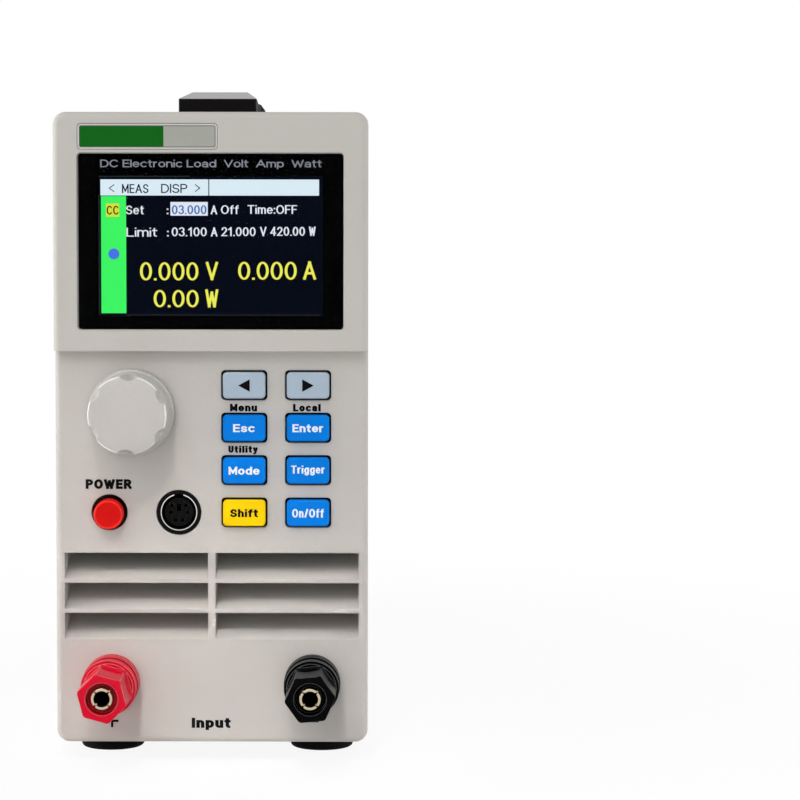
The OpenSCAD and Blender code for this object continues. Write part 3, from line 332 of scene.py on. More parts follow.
mouldedColumns = ("tone", "rough", "grain", "depth", "soften", "spread", "edge", "highlightWide", "mirror")
mouldedRows = {
    # colour, roughness, size and depth of the grain, softening, drift of the colour,
    # share and width of the highlight painted on sharp edges, mirror
    "bezel_plastic": ((192, 188, 182), 0.47, 1500, 0.018, 0.35, 0.025, 0.7, 0.3, 0.2),
    "knob_plastic": ((181, 178, 172), 0.3, 1800, 0.008, 0.3, 0.02, 0.9, 0.4, 0.5),
    # lighter plastic for the knob's face edge: a painted highlight
    "knob_rim": ((222, 220, 215), 0.25, 1500, 0.004, 0.3, 0.02, 0, 0.3, 0.5),
    "key_grey": ((164, 180, 195), 0.42, 1500, 0.008, 0.4, 0.03, 0.9, 0.5, 0.2),
    "key_blue": ((0, 122, 218), 0.42, 1500, 0.008, 0.4, 0.04, 0.5, 0.7, 0.06),
    "key_yellow": ((248, 204, 0), 0.42, 1500, 0.008, 0.4, 0.03, 0.3, 0.3, 0.08),
    "button_red": ((205, 5, 1), 0.3, 1500, 0.006, 0.4, 0.04, 0.2, 0.3, 0.1),
    # lighter red for the button's rim: a painted highlight
    "button_rim": ((244, 46, 36), 0.3, 1500, 0.004, 0.3, 0.05, 0, 0.3, 0.1),
    "post_red": ((206, 6, 40), 0.24, 1800, 0.004, 0.25, 0.05, 0.6, 0.3, 0.1),
    "post_black": ((3, 3, 4), 0.24, 1800, 0.004, 0.25, 0.1, 0.3, 0.3, 0.03),
    "black_plastic": ((10, 10, 11), 0.4, 1500, 0.015, 0.3, 0.12, 0.04, 0.3, 0.04),
    "case_paint": ((196, 193, 187), 0.5, 1100, 0.03, 0.4, 0.03, 0.2, 0.3, 0.2),
    "foot_rubber": ((14, 13, 15), 0.75, 1300, 0.03, 0.3, 0.15, 0, 0.3, 0.06),
    "handle_rubber": ((13, 11, 11), 0.66, 900, 0.04, 0.3, 0.2, 0.25, 0.3, 0.05),
    "end_cap_gloss": ((13, 11, 11), 0.6, 700, 0.06, 0.3, 0.3, 0.4, 0.5, 0.05),
    "slider_red": ((190, 22, 18), 0.4, 1800, 0.01, 0.2, 0.05, 0, 0.3, 0.2),
    "can_sleeve": ((24, 30, 60), 0.35, 1500, 0.01, 0.3, 0.1, 0, 0.3, 0.2),
    "display_panel": ((4, 5, 9), 0.5, 2600, 0.004, 0.2, 0.2, 0, 0.3, 0.02),
}
smoothTops = {"end_cap_gloss": 0.22}  # roughness of faces that look up
gapShadedSlots = ("key_grey", "key_blue", "key_yellow", "button_red")
gapShadeFrom = -0.1302  # keys and button are painted black behind the panel's face, a painted shade in the gaps round them
cloudScale = 55.0

metalRows = {
    # colour, roughness, grain along the three axes
    "nickel": ((222, 214, 200), 0.2, (300, 300, 300)),
    "zinc_steel": ((190, 190, 186), 0.32, (500, 500, 500)),
    "copper": ((200, 120, 80), 0.32, (900, 60, 900)),
    "heat_aluminium": ((190, 192, 196), 0.4, (900, 20, 900)),
    "brass_spacer": ((205, 170, 95), 0.3, (500, 500, 500)),
    "core_iron": ((90, 88, 86), 0.5, (40, 2600, 40)),
}


def plainName(slot):
    first, *others = slot.split("_")
    return first + "".join(word.title() for word in others)


def edgeShare(pen, radius):
    # 1 on sharp edges, 0 on flats
    flat = pen.node("ShaderNodeNewGeometry", out="Normal")
    along = vectors(pen, "DOT_PRODUCT", rounded(pen, radius, 8), flat, out="Value")
    return ramped(pen, 1.0 - along, 0.01, 0.25)


def mouldedFinish(slot, plan):
    colour = shade(*plan["tone"])
    material, pen, place = newFinish(plainName(slot))
    grain = height = noise(pen, place, plan["grain"], 3.0, 0.6)
    rough = plan["rough"] - 0.08 + grain * 0.16
    sockets = {"Specular IOR Level": plan["mirror"]}
    if slot in smoothTops:
        normal = pen.node("ShaderNodeNewGeometry", out="Normal")
        top = ramped(pen, axisPart(pen, normal, "Z"), 0.8, 0.95)
        height = grain * (1.0 - top)
        rough = rough * (1.0 - top) + top * smoothTops[slot]
        sockets.update({"Coat Weight": top * 0.6, "Coat Roughness": smoothTops[slot]})
    drift = noise(pen, place, cloudScale, 4.0, 0.55)
    low, high = (toned(colour, 1 + way * plan["spread"]) for way in (-1, 1))
    body = tint(pen, drift * 0.8 + grain * 0.2, low, high)
    # sharp edges are painted paler: a painted highlight along them
    if plan["edge"]:
        pale = tuple(c + (1 - c) * 0.5 for c in colour)
        body = tint(pen, edgeShare(pen, plan["highlightWide"]) * plan["edge"], body, pale)
    # painted shade: black behind the panel's face, so the gaps round keys and button look dark
    if slot in gapShadedSlots:
        body = tint(pen, axisPart(pen, place, "Y") > gapShadeFrom, body, shade(9, 9, 10))
    bump = bumped(pen, height, plan["depth"], plan["soften"])
    sockets.update({"Base Color": body, "Roughness": rough, "Normal": bump})
    return finished(material, pen, sockets)


def metalFinish(slot, tone, rough, stretch):
    colour = shade(*tone)
    material, pen, place = newFinish(plainName(slot))
    drawn = pen.node("ShaderNodeMapping", {}, {"Vector": place, "Scale": stretch})
    lines = noise(pen, drawn, 1.0, 4.0, 0.6)
    stain = noise(pen, place, 90.0, 3.0)
    return finished(material, pen, {
        "Base Color": tint(pen, stain * 0.6 + lines * 0.4, toned(colour, 0.88), colour),
        "Metallic": 1.0,
        "Roughness": rough - 0.06 + lines * 0.12 + stain * 0.06,
        "Normal": bumped(pen, lines, 0.01, 0.2),
    })


def spangleFinish(name, colour):
    # zinc-coated sheet: flakes with their own tone and gloss
    material, pen, place = newFinish(name)
    flake = pen.node("ShaderNodeTexVoronoi", {}, {"Vector": place, "Scale": 320.0}, out="Color")
    tone = pen.node("ShaderNodeSeparateColor", {}, {0: flake})
    return finished(material, pen, {
        "Base Color": tint(pen, tone, toned(colour, 0.78), colour),
        "Metallic": 0.9,
        "Roughness": 0.3 + tone * 0.2,
    })


def printedFinish(name, colour, rough=0.5, mirror=0.03):
    material, pen, place = newFinish(name)
    speck = noise(pen, place, 2600.0, 2.0)
    faded = tuple(c * 0.88 + 0.0008 for c in colour[:3]) + (1.0,)
    return finished(material, pen, {
        "Base Color": tint(pen, speck, colour, faded),
        "Roughness": rough - 0.05 + speck * 0.1,
        "Specular IOR Level": mirror,
    })


def litFinish(name, colour):
    # one colour of the display, with the fine mesh of its dots
    material, pen, place = newFinish(name)
    dots = noise(pen, place, 5200.0, 1.0)
    return finished(material, pen, {
        "Base Color": (0.0, 0.0, 0.0, 1),
        "Roughness": 0.6,
        "Specular IOR Level": 0.0,
        "Emission Color": tint(pen, dots, toned(colour, 0.86), colour),
        "Emission Strength": 1.0,
    })


def plateFinish(name, left, right, step):
    # two-tone print that changes at one line
    material, pen, place = newFinish(name)
    beyond = axisPart(pen, place, "X") > step
    cloth = noise(pen, place, 2200.0, 2.0)
    deep = tint(pen, beyond, toned(left, 0.9), toned(right, 0.9))
    return finished(material, pen, {
        "Base Color": tint(pen, cloth, deep, tint(pen, beyond, left, right)),
        "Roughness": 0.3 + cloth * 0.1,
        "Specular IOR Level": 0.08,
        "Normal": rounded(pen, 0.15),
    })


def glassFinish(name):
    material, pen, place = newFinish(name)
    return finished(material, pen, {
        "Base Color": (0.96, 0.97, 0.98, 1),
        "Roughness": noise(pen, place, 60.0, 4.0) * 0.05,
        "IOR": 1.03,
        "Transmission Weight": 1.0,
    })


def boardFinish(name, mask, copper):
    # solder mask over a maze of tracks
    material, pen, place = newFinish(name)
    bricks = {"Vector": place, "Scale": 160.0, "Mortar Size": 0.08}
    maze = pen.node("ShaderNodeTexBrick", {"offset": 0.37}, bricks, out=1)
    return finished(material, pen, {
        "Base Color": tint(pen, maze, mask, copper),
        "Roughness": 0.38 + maze * 0.1,
    })


def studFinish(name, node, colour, boreRadius):
    # bright turned metal, with a painted shade inside the bore
    material, pen, place = newFinish(name)
    low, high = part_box(node)
    axis = ((low.x + high.x) / 2, 0.0, (low.z + high.z) / 2)
    flat = vectors(pen, "MULTIPLY", vectors(pen, "SUBTRACT", place, axis), (1.0, 0.0, 1.0))
    boreShade = vectors(pen, "LENGTH", flat, out="Value") < boreRadius * mm
    turning = noise(pen, place, 900.0, 3.0)
    bright = tint(pen, turning, toned(colour, 0.86), colour)
    return finished(material, pen, {
        # black, rough and not metal inside the bore: a painted shade
        "Base Color": tint(pen, boreShade, bright, shade(8, 7, 7)),
        "Metallic": 1.0 - boreShade,
        "Roughness": 0.18 + turning * 0.1 + boreShade * 0.5,
        "Specular IOR Level": 0.05,
        "Normal": rounded(pen, 0.2, 8),
    })


finishes = {slot: mouldedFinish(slot, dict(zip(mouldedColumns, row))) for slot, row in mouldedRows.items()}
finishes.update({slot: metalFinish(slot, *row) for slot, row in metalRows.items()})
finishes.update({
    "chassis_zinc": spangleFinish("chassisZinc", shade(186, 188, 190)),
    "circuit_board": boardFinish("circuitBoard", shade(14, 74, 44), shade(36, 112, 62)),
    "lens_gloss": glassFinish("lensGloss"),
    "plate_print": plateFinish("platePrint", shade(0, 98, 14), shade(168, 170, 161), -12.1 * mm),
})
ownFinishes = {
    "handle_end_caps": finishes["end_cap_gloss"],
    "sense_shield": studFinish("shieldMetal", "sense_insert", shade(222, 218, 212), 4.58),
}
for nodeName in nodes:
    if nodeName.endswith("_post_stud"):
        ownFinishes[nodeName] = studFinish(nodeName + "Metal", nodeName, shade(204, 188, 160), 2.08)

slotOf = {part["node"]: part["material_slot"] for part in frame["record"]["subparts"]}
for nodeName, solid in nodes.items():
    solid.data.materials.clear()
    solid.data.materials.append(ownFinishes.get(nodeName, finishes[slotOf[nodeName]]))
inkBlack = printedFinish("inkBlack", shade(10, 10, 12))
inkWhite = printedFinish("inkWhite", shade(244, 246, 248))
print("finishes on", len(nodes), "solids")

# Flat print: words and outlines become thin meshes that face the front

facingFront = Matrix.Rotation(math.radians(90), 4, "X")
tiny = 1e-7


def bow(x, z, wide, tall, start, end, steps=9):
    angles = [math.radians(start + (end - start) * k / steps) for k in range(steps + 1)]
    return [(x + wide * math.cos(a), z + tall * math.sin(a)) for a in angles]


small = 0.71  # height of a small letter, as a share of a capital's
stem = [(0, 0), (0, 1)]
smallStem = [(0, 0), (0, small)]
crossbar = [(0, small), (1, small)]
ring = bow(0.5, small / 2, 0.5, small / 2, 90, 450, 18)
arch = bow(0.5, small - 0.27, 0.5, 0.27, 180, 0)
curl = bow(0.5, 0.745, 0.46, 0.255, 15, 270) + bow(0.5, 0.245, 0.5, 0.245, 90, -165)
letterShapes = {
    # letter: width of its centre lines, strokes in a unit box from the baseline to the top of a capital
    "A": (0.66, [[(0, 0), (0.5, 1), (1, 0)], [(0.18, 0.33), (0.82, 0.33)]]),
    "C": (0.62, [bow(0.53, 0.5, 0.53, 0.5, 42, 318, 16)]),
    "D": (0.58, [
        [(0, 0.5), (0, 1), (0.42, 1)] + bow(0.42, 0.5, 0.58, 0.5, 85, -85) + [(0.42, 0), (0, 0), (0, 0.5)],
    ]),
    "E": (0.44, [[(1, 1), (0, 1), (0, 0), (1, 0)], [(0, 0.52), (0.9, 0.52)]]),
    "F": (0.42, [[(0, 0), (0, 1), (1, 1)], [(0, 0.5), (0.86, 0.5)]]),
    "I": (0.0, [stem]),
    "L": (0.42, [[(0, 1), (0, 0), (1, 0)]]),
    "M": (0.66, [[(0, 0), (0, 1), (0.5, 0.18), (1, 1), (1, 0)]]),
    "O": (0.66, [bow(0.5, 0.5, 0.5, 0.5, 90, 450, 20)]),
    "P": (0.5, [
        stem,
        [(0.08, 1), (0.5, 1)] + bow(0.5, 0.74, 0.5, 0.26, 85, -85) + [(0.5, 0.48), (0.08, 0.48)],
    ]),
    "R": (0.54, [
        stem,
        [(0.08, 1), (0.5, 1)] + bow(0.5, 0.75, 0.46, 0.25, 85, -85) + [(0.5, 0.5), (0.08, 0.5)],
        [(0.5, 0.5), (1, 0)],
    ]),
    "S": (0.52, [curl]),
    "T": (0.54, [[(0, 1), (1, 1)], [(0.5, 1), (0.5, 0)]]),
    "U": (0.56, [[(0, 1), (0, 0.34)] + bow(0.5, 0.34, 0.5, 0.34, 185, 355) + [(1, 0.34), (1, 1)]]),
    "V": (0.62, [[(0, 1), (0.5, 0), (1, 1)]]),
    "W": (0.88, [[(0, 1), (0.25, 0), (0.5, 0.86), (0.75, 0), (1, 1)]]),
    "a": (0.42, [
        bow(0.5, small - 0.24, 0.46, 0.24, 155, 5) + [(0.96, 0.3), (0.96, 0)],
        bow(0.47, 0.2, 0.47, 0.2, 20, 380, 14),
    ]),
    "c": (0.44, [bow(0.54, small / 2, 0.54, small / 2, 48, 312, 12)]),
    "d": (0.46, [ring, [(1, 1), (1, 0)]]),
    "e": (0.46, [[(0.1, 0.37), (0.94, 0.37)], bow(0.5, small / 2, 0.5, small / 2, 4, 318, 14)]),
    "f": (0.26, [[(0.4, 0), (0.4, 0.78)] + bow(0.95, 0.78, 0.55, 0.22, 170, 90, 5), crossbar]),
    "g": (0.46, [ring, [(1, small), (1, -0.04)] + bow(0.5, -0.04, 0.5, 0.24, -10, -155, 7)]),
    "h": (0.42, [stem, arch + [(1, 0)]]),
    "i": (0.0, [[(0, 0), (0, small - 0.06)], [(0, 0.99), (0, 1)]]),
    "l": (0.0, [stem]),
    "m": (0.68, [
        smallStem,
        bow(0.25, small - 0.22, 0.25, 0.22, 180, 0) + [(0.5, 0)],
        bow(0.75, small - 0.22, 0.25, 0.22, 180, 0) + [(1, 0)],
    ]),
    "n": (0.42, [smallStem, arch + [(1, 0)]]),
    "o": (0.46, [ring]),
    "p": (0.46, [[(0, small), (0, -0.28)], ring]),
    "r": (0.24, [smallStem, bow(0.9, small - 0.3, 0.9, 0.3, 180, 95, 6)]),
    "s": (0.4, [[(x, z * small) for x, z in curl]]),
    "t": (0.26, [[(0.42, 0.95), (0.42, 0.2)] + bow(0.92, 0.2, 0.5, 0.2, 185, 265, 5), crossbar]),
    "u": (0.42, [
        [(0, small), (0, 0.27)] + bow(0.5, 0.27, 0.5, 0.27, 185, 355) + [(1, 0.27)],
        [(1, small), (1, 0)],
    ]),
    "y": (0.46, [[(0, small), (0.5, 0.04)], [(1, small), (0.42, -0.2), (0.12, -0.28)]]),
    "0": (0.5, [bow(0.5, 0.5, 0.5, 0.5, 90, 450, 20)]),
    "1": (0.3, [[(0, 0.76), (0.75, 1), (0.75, 0)]]),
    "2": (0.48, [bow(0.5, 0.72, 0.48, 0.28, 170, -38) + [(0, 0), (1, 0)]]),
    "3": (0.48, [bow(0.48, 0.755, 0.46, 0.245, 155, -70) + bow(0.48, 0.265, 0.52, 0.265, 70, -160)]),
    "4": (0.52, [[(0.74, 0), (0.74, 1), (0, 0.27), (1, 0.27)]]),
    "/": (0.3, [[(0, 0), (1, 1)]]),
    ":": (0.0, [[(0, 0.02), (0, 0.06)], [(0, 0.6), (0, 0.64)]]),
    ".": (0.0, [[(0, 0), (0, 0.02)]]),
    "<": (0.44, [[(1, 0.94), (0, 0.5), (1, 0.06)]]),
    ">": (0.44, [[(0, 0.94), (1, 0.5), (0, 0.06)]]),
}
letterPlan = {
    # in heights of a capital
    "gap": 0.1,
    "space": 0.34,
    "tail": 0.28,
    # thickness of level strokes as a share of upright ones
    "level": 0.68,
    "capitalLevel": 0.86,
    "layers": 3,  # strokes that cross lie on each other
    "layerThick": 0.000005,
    "sharpTurn": -0.2,  # cosine past which a corner is parted
    "leastMitre": 0.55,
}


def setWords(text, box, weight):
    # centre lines of a line of letters that fills the given box with strokes of one weight
    left, right, low, high = box
    tail = letterPlan["tail"] if any(c in "gpy" for c in text) else 0.0
    cap = (high - low) / (1 + tail)
    base = high - cap
    gap, space = letterPlan["gap"] * cap, letterPlan["space"] * cap
    shown = [c for c in text if c != " "]
    fixed = len(shown) * weight + (len(text) - 1) * gap + (len(text) - len(shown)) * space
    stretch = (right - left - fixed) / max(sum(letterShapes[c][0] for c in shown), 0.01)
    lines, cursor = [], left
    for c in text:
        if c == " ":
            cursor += space + gap
            continue
        wide, strokes = letterShapes[c]
        x0, z0 = cursor + weight / 2, base + weight / 2
        for stroke in strokes:
            lines.append([(x0 + x * wide * stretch, z0 + z * (cap - weight)) for x, z in stroke])
        cursor += wide * stretch + weight + gap
    return lines


def partedAtCorners(line):
    # sharp corners become two strokes that overlap
    parts = [[Vector(line[0])]]
    for k in range(1, len(line)):
        here = Vector(line[k])
        way = here - parts[-1][-1]
        if way.length < tiny:
            continue
        parts[-1].append(here)
        onward = Vector(line[k + 1]) - here if k + 1 < len(line) else way
        if way.normalized().dot(onward.normalized()) < letterPlan["sharpTurn"]:
            parts.append([here])
    return [part for part in parts if len(part) > 1]


def strokeSides(points, weight, level):
    # both edges of a stroke, with mitred corners and square ends; level strokes come out thinner
    points = list(points)
    shaped = Matrix.Diagonal((1.0, level))
    closed = (points[0] - points[-1]).length < tiny
    if closed:
        points.pop()
    else:
        for end, inner in ((0, 1), (-1, -2)):
            points[end] = points[end] + (points[end] - points[inner]).normalized() @ shaped * weight / 2
    last = len(points) - 1
    lefts, rights = [], []
    for k, point in enumerate(points):
        before = points[k - 1] if k or closed else point
        after = points[(k + 1) % len(points)] if k < last or closed else point
        ways = [w.normalized() for w in (point - before, after - point) if w.length > 1e-9]
        across = [Vector((-w.y, w.x)) for w in ways]
        middle = sum(across, Vector((0, 0)))
        middle = middle.normalized() if middle.length > 1e-6 else across[0]
        reach = weight / 2 / max(middle.dot(across[0]), letterPlan["leastMitre"])
        lefts.append(point + middle @ shaped * reach)
        rights.append(point - middle @ shaped * reach)
    return lefts, rights, closed


def loopMesh(loops, thick):
    curve = bpy.data.curves.new("outline", "CURVE")
    curve.dimensions = "2D"
    curve.fill_mode = "BOTH"
    curve.extrude = thick / 2
    for loop in loops:
        spline = curve.splines.new("POLY")
        spline.points.add(len(loop) - 1)
        for point, (x, z) in zip(spline.points, loop):
            point.co = (x, z, 0.0, 1.0)
        spline.use_cyclic_u = True
    holder = bpy.data.objects.new("outline", curve)
    mesh = evaluated(holder)
    bpy.data.objects.remove(holder)
    bpy.data.curves.remove(curve)
    return mesh


def roundedLoop(centre, width, height, radius, steps=6):
    loop = []
    for right, up, start in ((1, 1, 0), (-1, 1, 90), (-1, -1, 180), (1, -1, 270)):
        for k in range(steps + 1):
            angle = math.radians(start + 90.0 * k / steps)
            x = centre[0] + right * (width / 2 - radius) + radius * math.cos(angle)
            z = centre[1] + up * (height / 2 - radius) + radius * math.sin(angle)
            loop.append((x, z))
    return loop


def boxLoop(left, right, low, high):
    return [(left, low), (right, low), (right, high), (left, high)]


def discLoop(x, z, radius, steps=28):
    return [(x + radius * math.cos(a), z + radius * math.sin(a)) for a in anglesRound(steps)]


class PrintSheet:
    # gathers flat shapes of several inks into one mesh

    def __init__(self, name, front, thick):
        self.name, self.front, self.thick = name, front, thick
        self.build = bmesh.new()
        self.inks = []

    def inkRank(self, ink):
        if ink not in self.inks:
            self.inks.append(ink)
        return self.inks.index(ink)

    def words(self, text, box, ink, weight, lift=0.0):
        level = letterPlan["capitalLevel" if text.isupper() else "level"]
        lines = [part for whole in setWords(text, box, weight) for part in partedAtCorners(whole)]
        for rank, line in enumerate(lines):
            front = self.front - lift - rank % letterPlan["layers"] * letterPlan["layerThick"]
            back = front + self.thick
            lefts, rights, closed = strokeSides(line, weight, level)
            rows = []
            for a, b in zip(lefts, rights):
                corners = ((a, front), (b, front), (b, back), (a, back))
                rows.append([self.build.verts.new((p.x, y, p.y)) for p, y in corners])
            pairs = list(zip(rows, rows[1:])) + ([(rows[-1], rows[0])] if closed else [])
            skins = [(a[k], a[k - 3], b[k - 3], b[k]) for a, b in pairs for k in range(4)]
            if not closed:
                skins += [rows[0], rows[-1]]
            for skin in skins:
                self.build.faces.new(skin).material_index = self.inkRank(ink)

    def shapes(self, loops, ink, lift=0.0):
        mesh = loopMesh(loops, self.thick)
        for polygon in mesh.polygons:
            polygon.material_index = self.inkRank(ink)
        mesh.transform(Matrix.Translation((0, self.front - lift + self.thick / 2, 0)) @ facingFront)
        self.build.from_mesh(mesh)
        bpy.data.meshes.remove(mesh)

    def finish(self, body, slot):
        bmesh.ops.remove_doubles(self.build, verts=self.build.verts, dist=tiny)
        mesh = meshFrom(self.build, self.name)
        for ink in self.inks:
            mesh.materials.append(ink)
        piece = placePiece(self.name, mesh)
        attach(piece, body)


floorToCase = 5.2  # the feet lift the case, in mm


def caseBox(left, right, low, high):
    # edges in mm, heights from the case's underside
    return left * mm, right * mm, (low + floorToCase) * mm, (high + floorToCase) * mm


# Panel words

panelPrint = {
    "front": -0.13004,
    "thick": 0.00008,
    # words: left, right, low and high edge and weight of the strokes in mm
    "words": {
        "POWER": (-33.05, -21.0, 67.1, 69.75, 0.76),
        "Input": (-5.4, 4.9, 2.95, 6.75, 0.92),
        "Menu": (4.85, 11.95, 87.5, 89.65, 0.64),
        "Local": (21.35, 28.6, 87.5, 89.65, 0.66),
        "Utility": (4.4, 12.1, 76.05, 78.65, 0.62),
    },
    "signWide": 3.4,
    "signBar": 0.62,
    "signHeight": 5.75,
    "postX": 26.4,
}


def printPanel(plan):
    sheet = PrintSheet("panel_print", plan["front"], plan["thick"])
    for text, (*edges, weight) in plan["words"].items():
        sheet.words(text, caseBox(*edges), inkBlack, weight * mm)
    half, bar, height, x = plan["signWide"] / 2, plan["signBar"] / 2, plan["signHeight"], plan["postX"]
    bars = [(side - half, side + half, height - bar, height + bar) for side in (-x, x)]
    bars.append((-x - bar, -x + bar, height - half, height - bar))
    bars.append((-x - bar, -x + bar, height + bar, height + half))
    for edges in bars:
        sheet.shapes([boxLoop(*caseBox(*edges))], inkBlack)
    sheet.finish("case", "black_plastic")


printPanel(panelPrint)

# Bare plate: a pale rim and a fine dark line inside it

plateRim = {
    "wide": 0.42,
    "line": 0.2,
    "thick": 0.00005,
    "stands": 0.00001,
    "corner": 0.9,
    "leastCorner": 0.2,
    "rimInk": printedFinish("plateRimInk", shade(206, 205, 200), 0.3),
    "lineInk": printedFinish("plateLineInk", shade(92, 93, 90), 0.5),
}


def rimPlate(plan):
    low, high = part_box("nameplate")
    centre = ((low.x + high.x) / 2, (low.z + high.z) / 2)
    sheet = PrintSheet("plate_rim", low.y - plan["stands"], plan["thick"])
    loops = []
    for inset in (0.0, plan["wide"], plan["wide"] + plan["line"]):
        corner = max(plan["corner"] - inset, plan["leastCorner"]) * mm
        less = 2 * inset * mm
        loops.append(roundedLoop(centre, high.x - low.x - less, high.z - low.z - less, corner))
    sheet.shapes(loops[:2], plan["rimInk"])
    sheet.shapes(loops[1:], plan["lineInk"])
    sheet.finish("case", "plate_print")


rimPlate(plateRim)

# Key legends

keyLegends = {
    "front": -0.13174,
    "thick": 0.00008,
    "columns": (8.6, 25.3),
    "rows": (94.45, 83.3, 72.15, 61.0),
    # key: word, column, row, width, height and stroke in mm, ink
    "words": {
        "escape_key": ("Esc", 0, 1, 5.7, 2.25, 0.54, inkWhite),
        "enter_key": ("Enter", 1, 1, 8.1, 2.25, 0.54, inkWhite),
        "mode_key": ("Mode", 0, 2, 8.1, 2.25, 0.54, inkWhite),
        "trigger_key": ("Trigger", 1, 2, 8.8, 2.85, 0.46, inkWhite),
        "shift_key": ("Shift", 0, 3, 7.3, 2.3, 0.62, inkBlack),
        "output_key": ("On/Off", 1, 3, 8.3, 2.4, 0.46, inkWhite),
    },
    # key: column, direction of the arrow
    "arrows": {"left_arrow_key": (0, -1), "right_arrow_key": (1, 1)},
    "arrowWide": 3.0,
    "arrowTall": 3.25,
}


def printKeys(plan):
    for key, (text, column, row, wide, tall, weight, ink) in plan["words"].items():
        x, z = plan["columns"][column], plan["rows"][row]
        sheet = PrintSheet(key + "_legend", plan["front"], plan["thick"])
        box = caseBox(x - wide / 2, x + wide / 2, z - tall / 2, z + tall / 2)
        sheet.words(text, box, ink, weight * mm)
        sheet.finish(key, slotOf[key])
    half, tall, z = plan["arrowWide"] / 2, plan["arrowTall"] / 2, plan["rows"][0]
    for key, (column, way) in plan["arrows"].items():
        x = plan["columns"][column]
        back, tip, low, high = caseBox(x - way * half, x + way * half, z - tall, z + tall)
        sheet = PrintSheet(key + "_legend", plan["front"], plan["thick"])
        sheet.shapes([[(back, low), (tip, (low + high) / 2), (back, high)]], inkBlack)
        sheet.finish(key, slotOf[key])


printKeys(keyLegends)
print("panel and keys printed")

# Display: clear pane, black mask printed behind it, lit dots on the panel

display = {
    "paneFront": -0.1327,
    "paneBack": -0.13135,
    "paneCorner": 0.8,
    "paneEdge": 0.00015,
    "maskFront": -0.1313,
    "maskThick": 0.0001,
    "maskLess": 0.0002,  # the mask is this much narrower than the pane
    "opening": (-29.3, 29.3, 112.55, 149.25),  # left, right, low, high in mm
    "headerWords": "DC Electronic Load  Volt  Amp  Watt",
    "header": (-28.7, 28.9, 150.55, 153.2),
    "headerWeight": 0.37,
    "headerFront": -0.13132,
    "headerThick": 0.00003,
}


def makePane(plan):
    low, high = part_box("display_lens")
    wide, tall = high.x - low.x, high.z - low.z
    centre = (0.0, (low.z + high.z) / 2)
    front, back = plan["paneFront"], plan["paneBack"]
    outline = loopMesh([roundedLoop(centre, wide, tall, plan["paneCorner"] * mm)], back - front)
    outline.transform(Matrix.Translation((0, (front + back) / 2, 0)) @ facingFront)
    build = bmesh.new()
    build.from_mesh(outline)
    bpy.data.meshes.remove(outline)
    bmesh.ops.remove_doubles(build, verts=build.verts, dist=tiny)
    bmesh.ops.dissolve_limit(build, angle_limit=math.radians(1), verts=build.verts, edges=build.edges)
    rims = [e for e in build.edges if len(e.link_faces) == 2 and e.calc_face_angle() > 1.0]
    bmesh.ops.bevel(build, geom=rims, offset=plan["paneEdge"], segments=2, profile=0.5, affect="EDGES")
    mesh = meshFrom(build, "display_pane")
    mesh.materials.append(finishes["lens_gloss"])
    pane = placePiece("display_pane", mesh)
    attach(pane, "case")
    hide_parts("display_lens")
    return centre, wide - plan["maskLess"], tall - plan["maskLess"]


def makeMask(plan, centre, wide, tall):
    maskInk = printedFinish("maskInk", shade(1, 1, 2), 0.4, 0.0)
    headerInk = printedFinish("headerInk", shade(134, 137, 150), 0.5)
    sheet = PrintSheet("display_mask", plan["maskFront"], plan["maskThick"])
    outer = roundedLoop(centre, wide, tall, plan["paneCorner"] * mm)
    sheet.shapes([outer, boxLoop(*caseBox(*plan["opening"]))], maskInk)
    sheet.finish("case", "lens_gloss")
    sheet = PrintSheet("display_header", plan["headerFront"], plan["headerThick"])
    sheet.words(plan["headerWords"], caseBox(*plan["header"]), headerInk, plan["headerWeight"] * mm)
    sheet.finish("case", "lens_gloss")


makeMask(display, *makePane(display))

screenTones = {
    "pale": (228, 246, 255),
    "green": (66, 255, 104),
    "yellow": (246, 244, 92),
    "box": (226, 232, 60),
    "white": (236, 240, 250),
    "blue": (78, 120, 236),
    "navy": (8, 12, 24),
    "dark": (22, 26, 44),
    "line": (44, 46, 54),
    "sky": (30, 110, 190),
}
screenInks = {name: litFinish("screen" + name.title(), shade(*tone)) for name, tone in screenTones.items()}

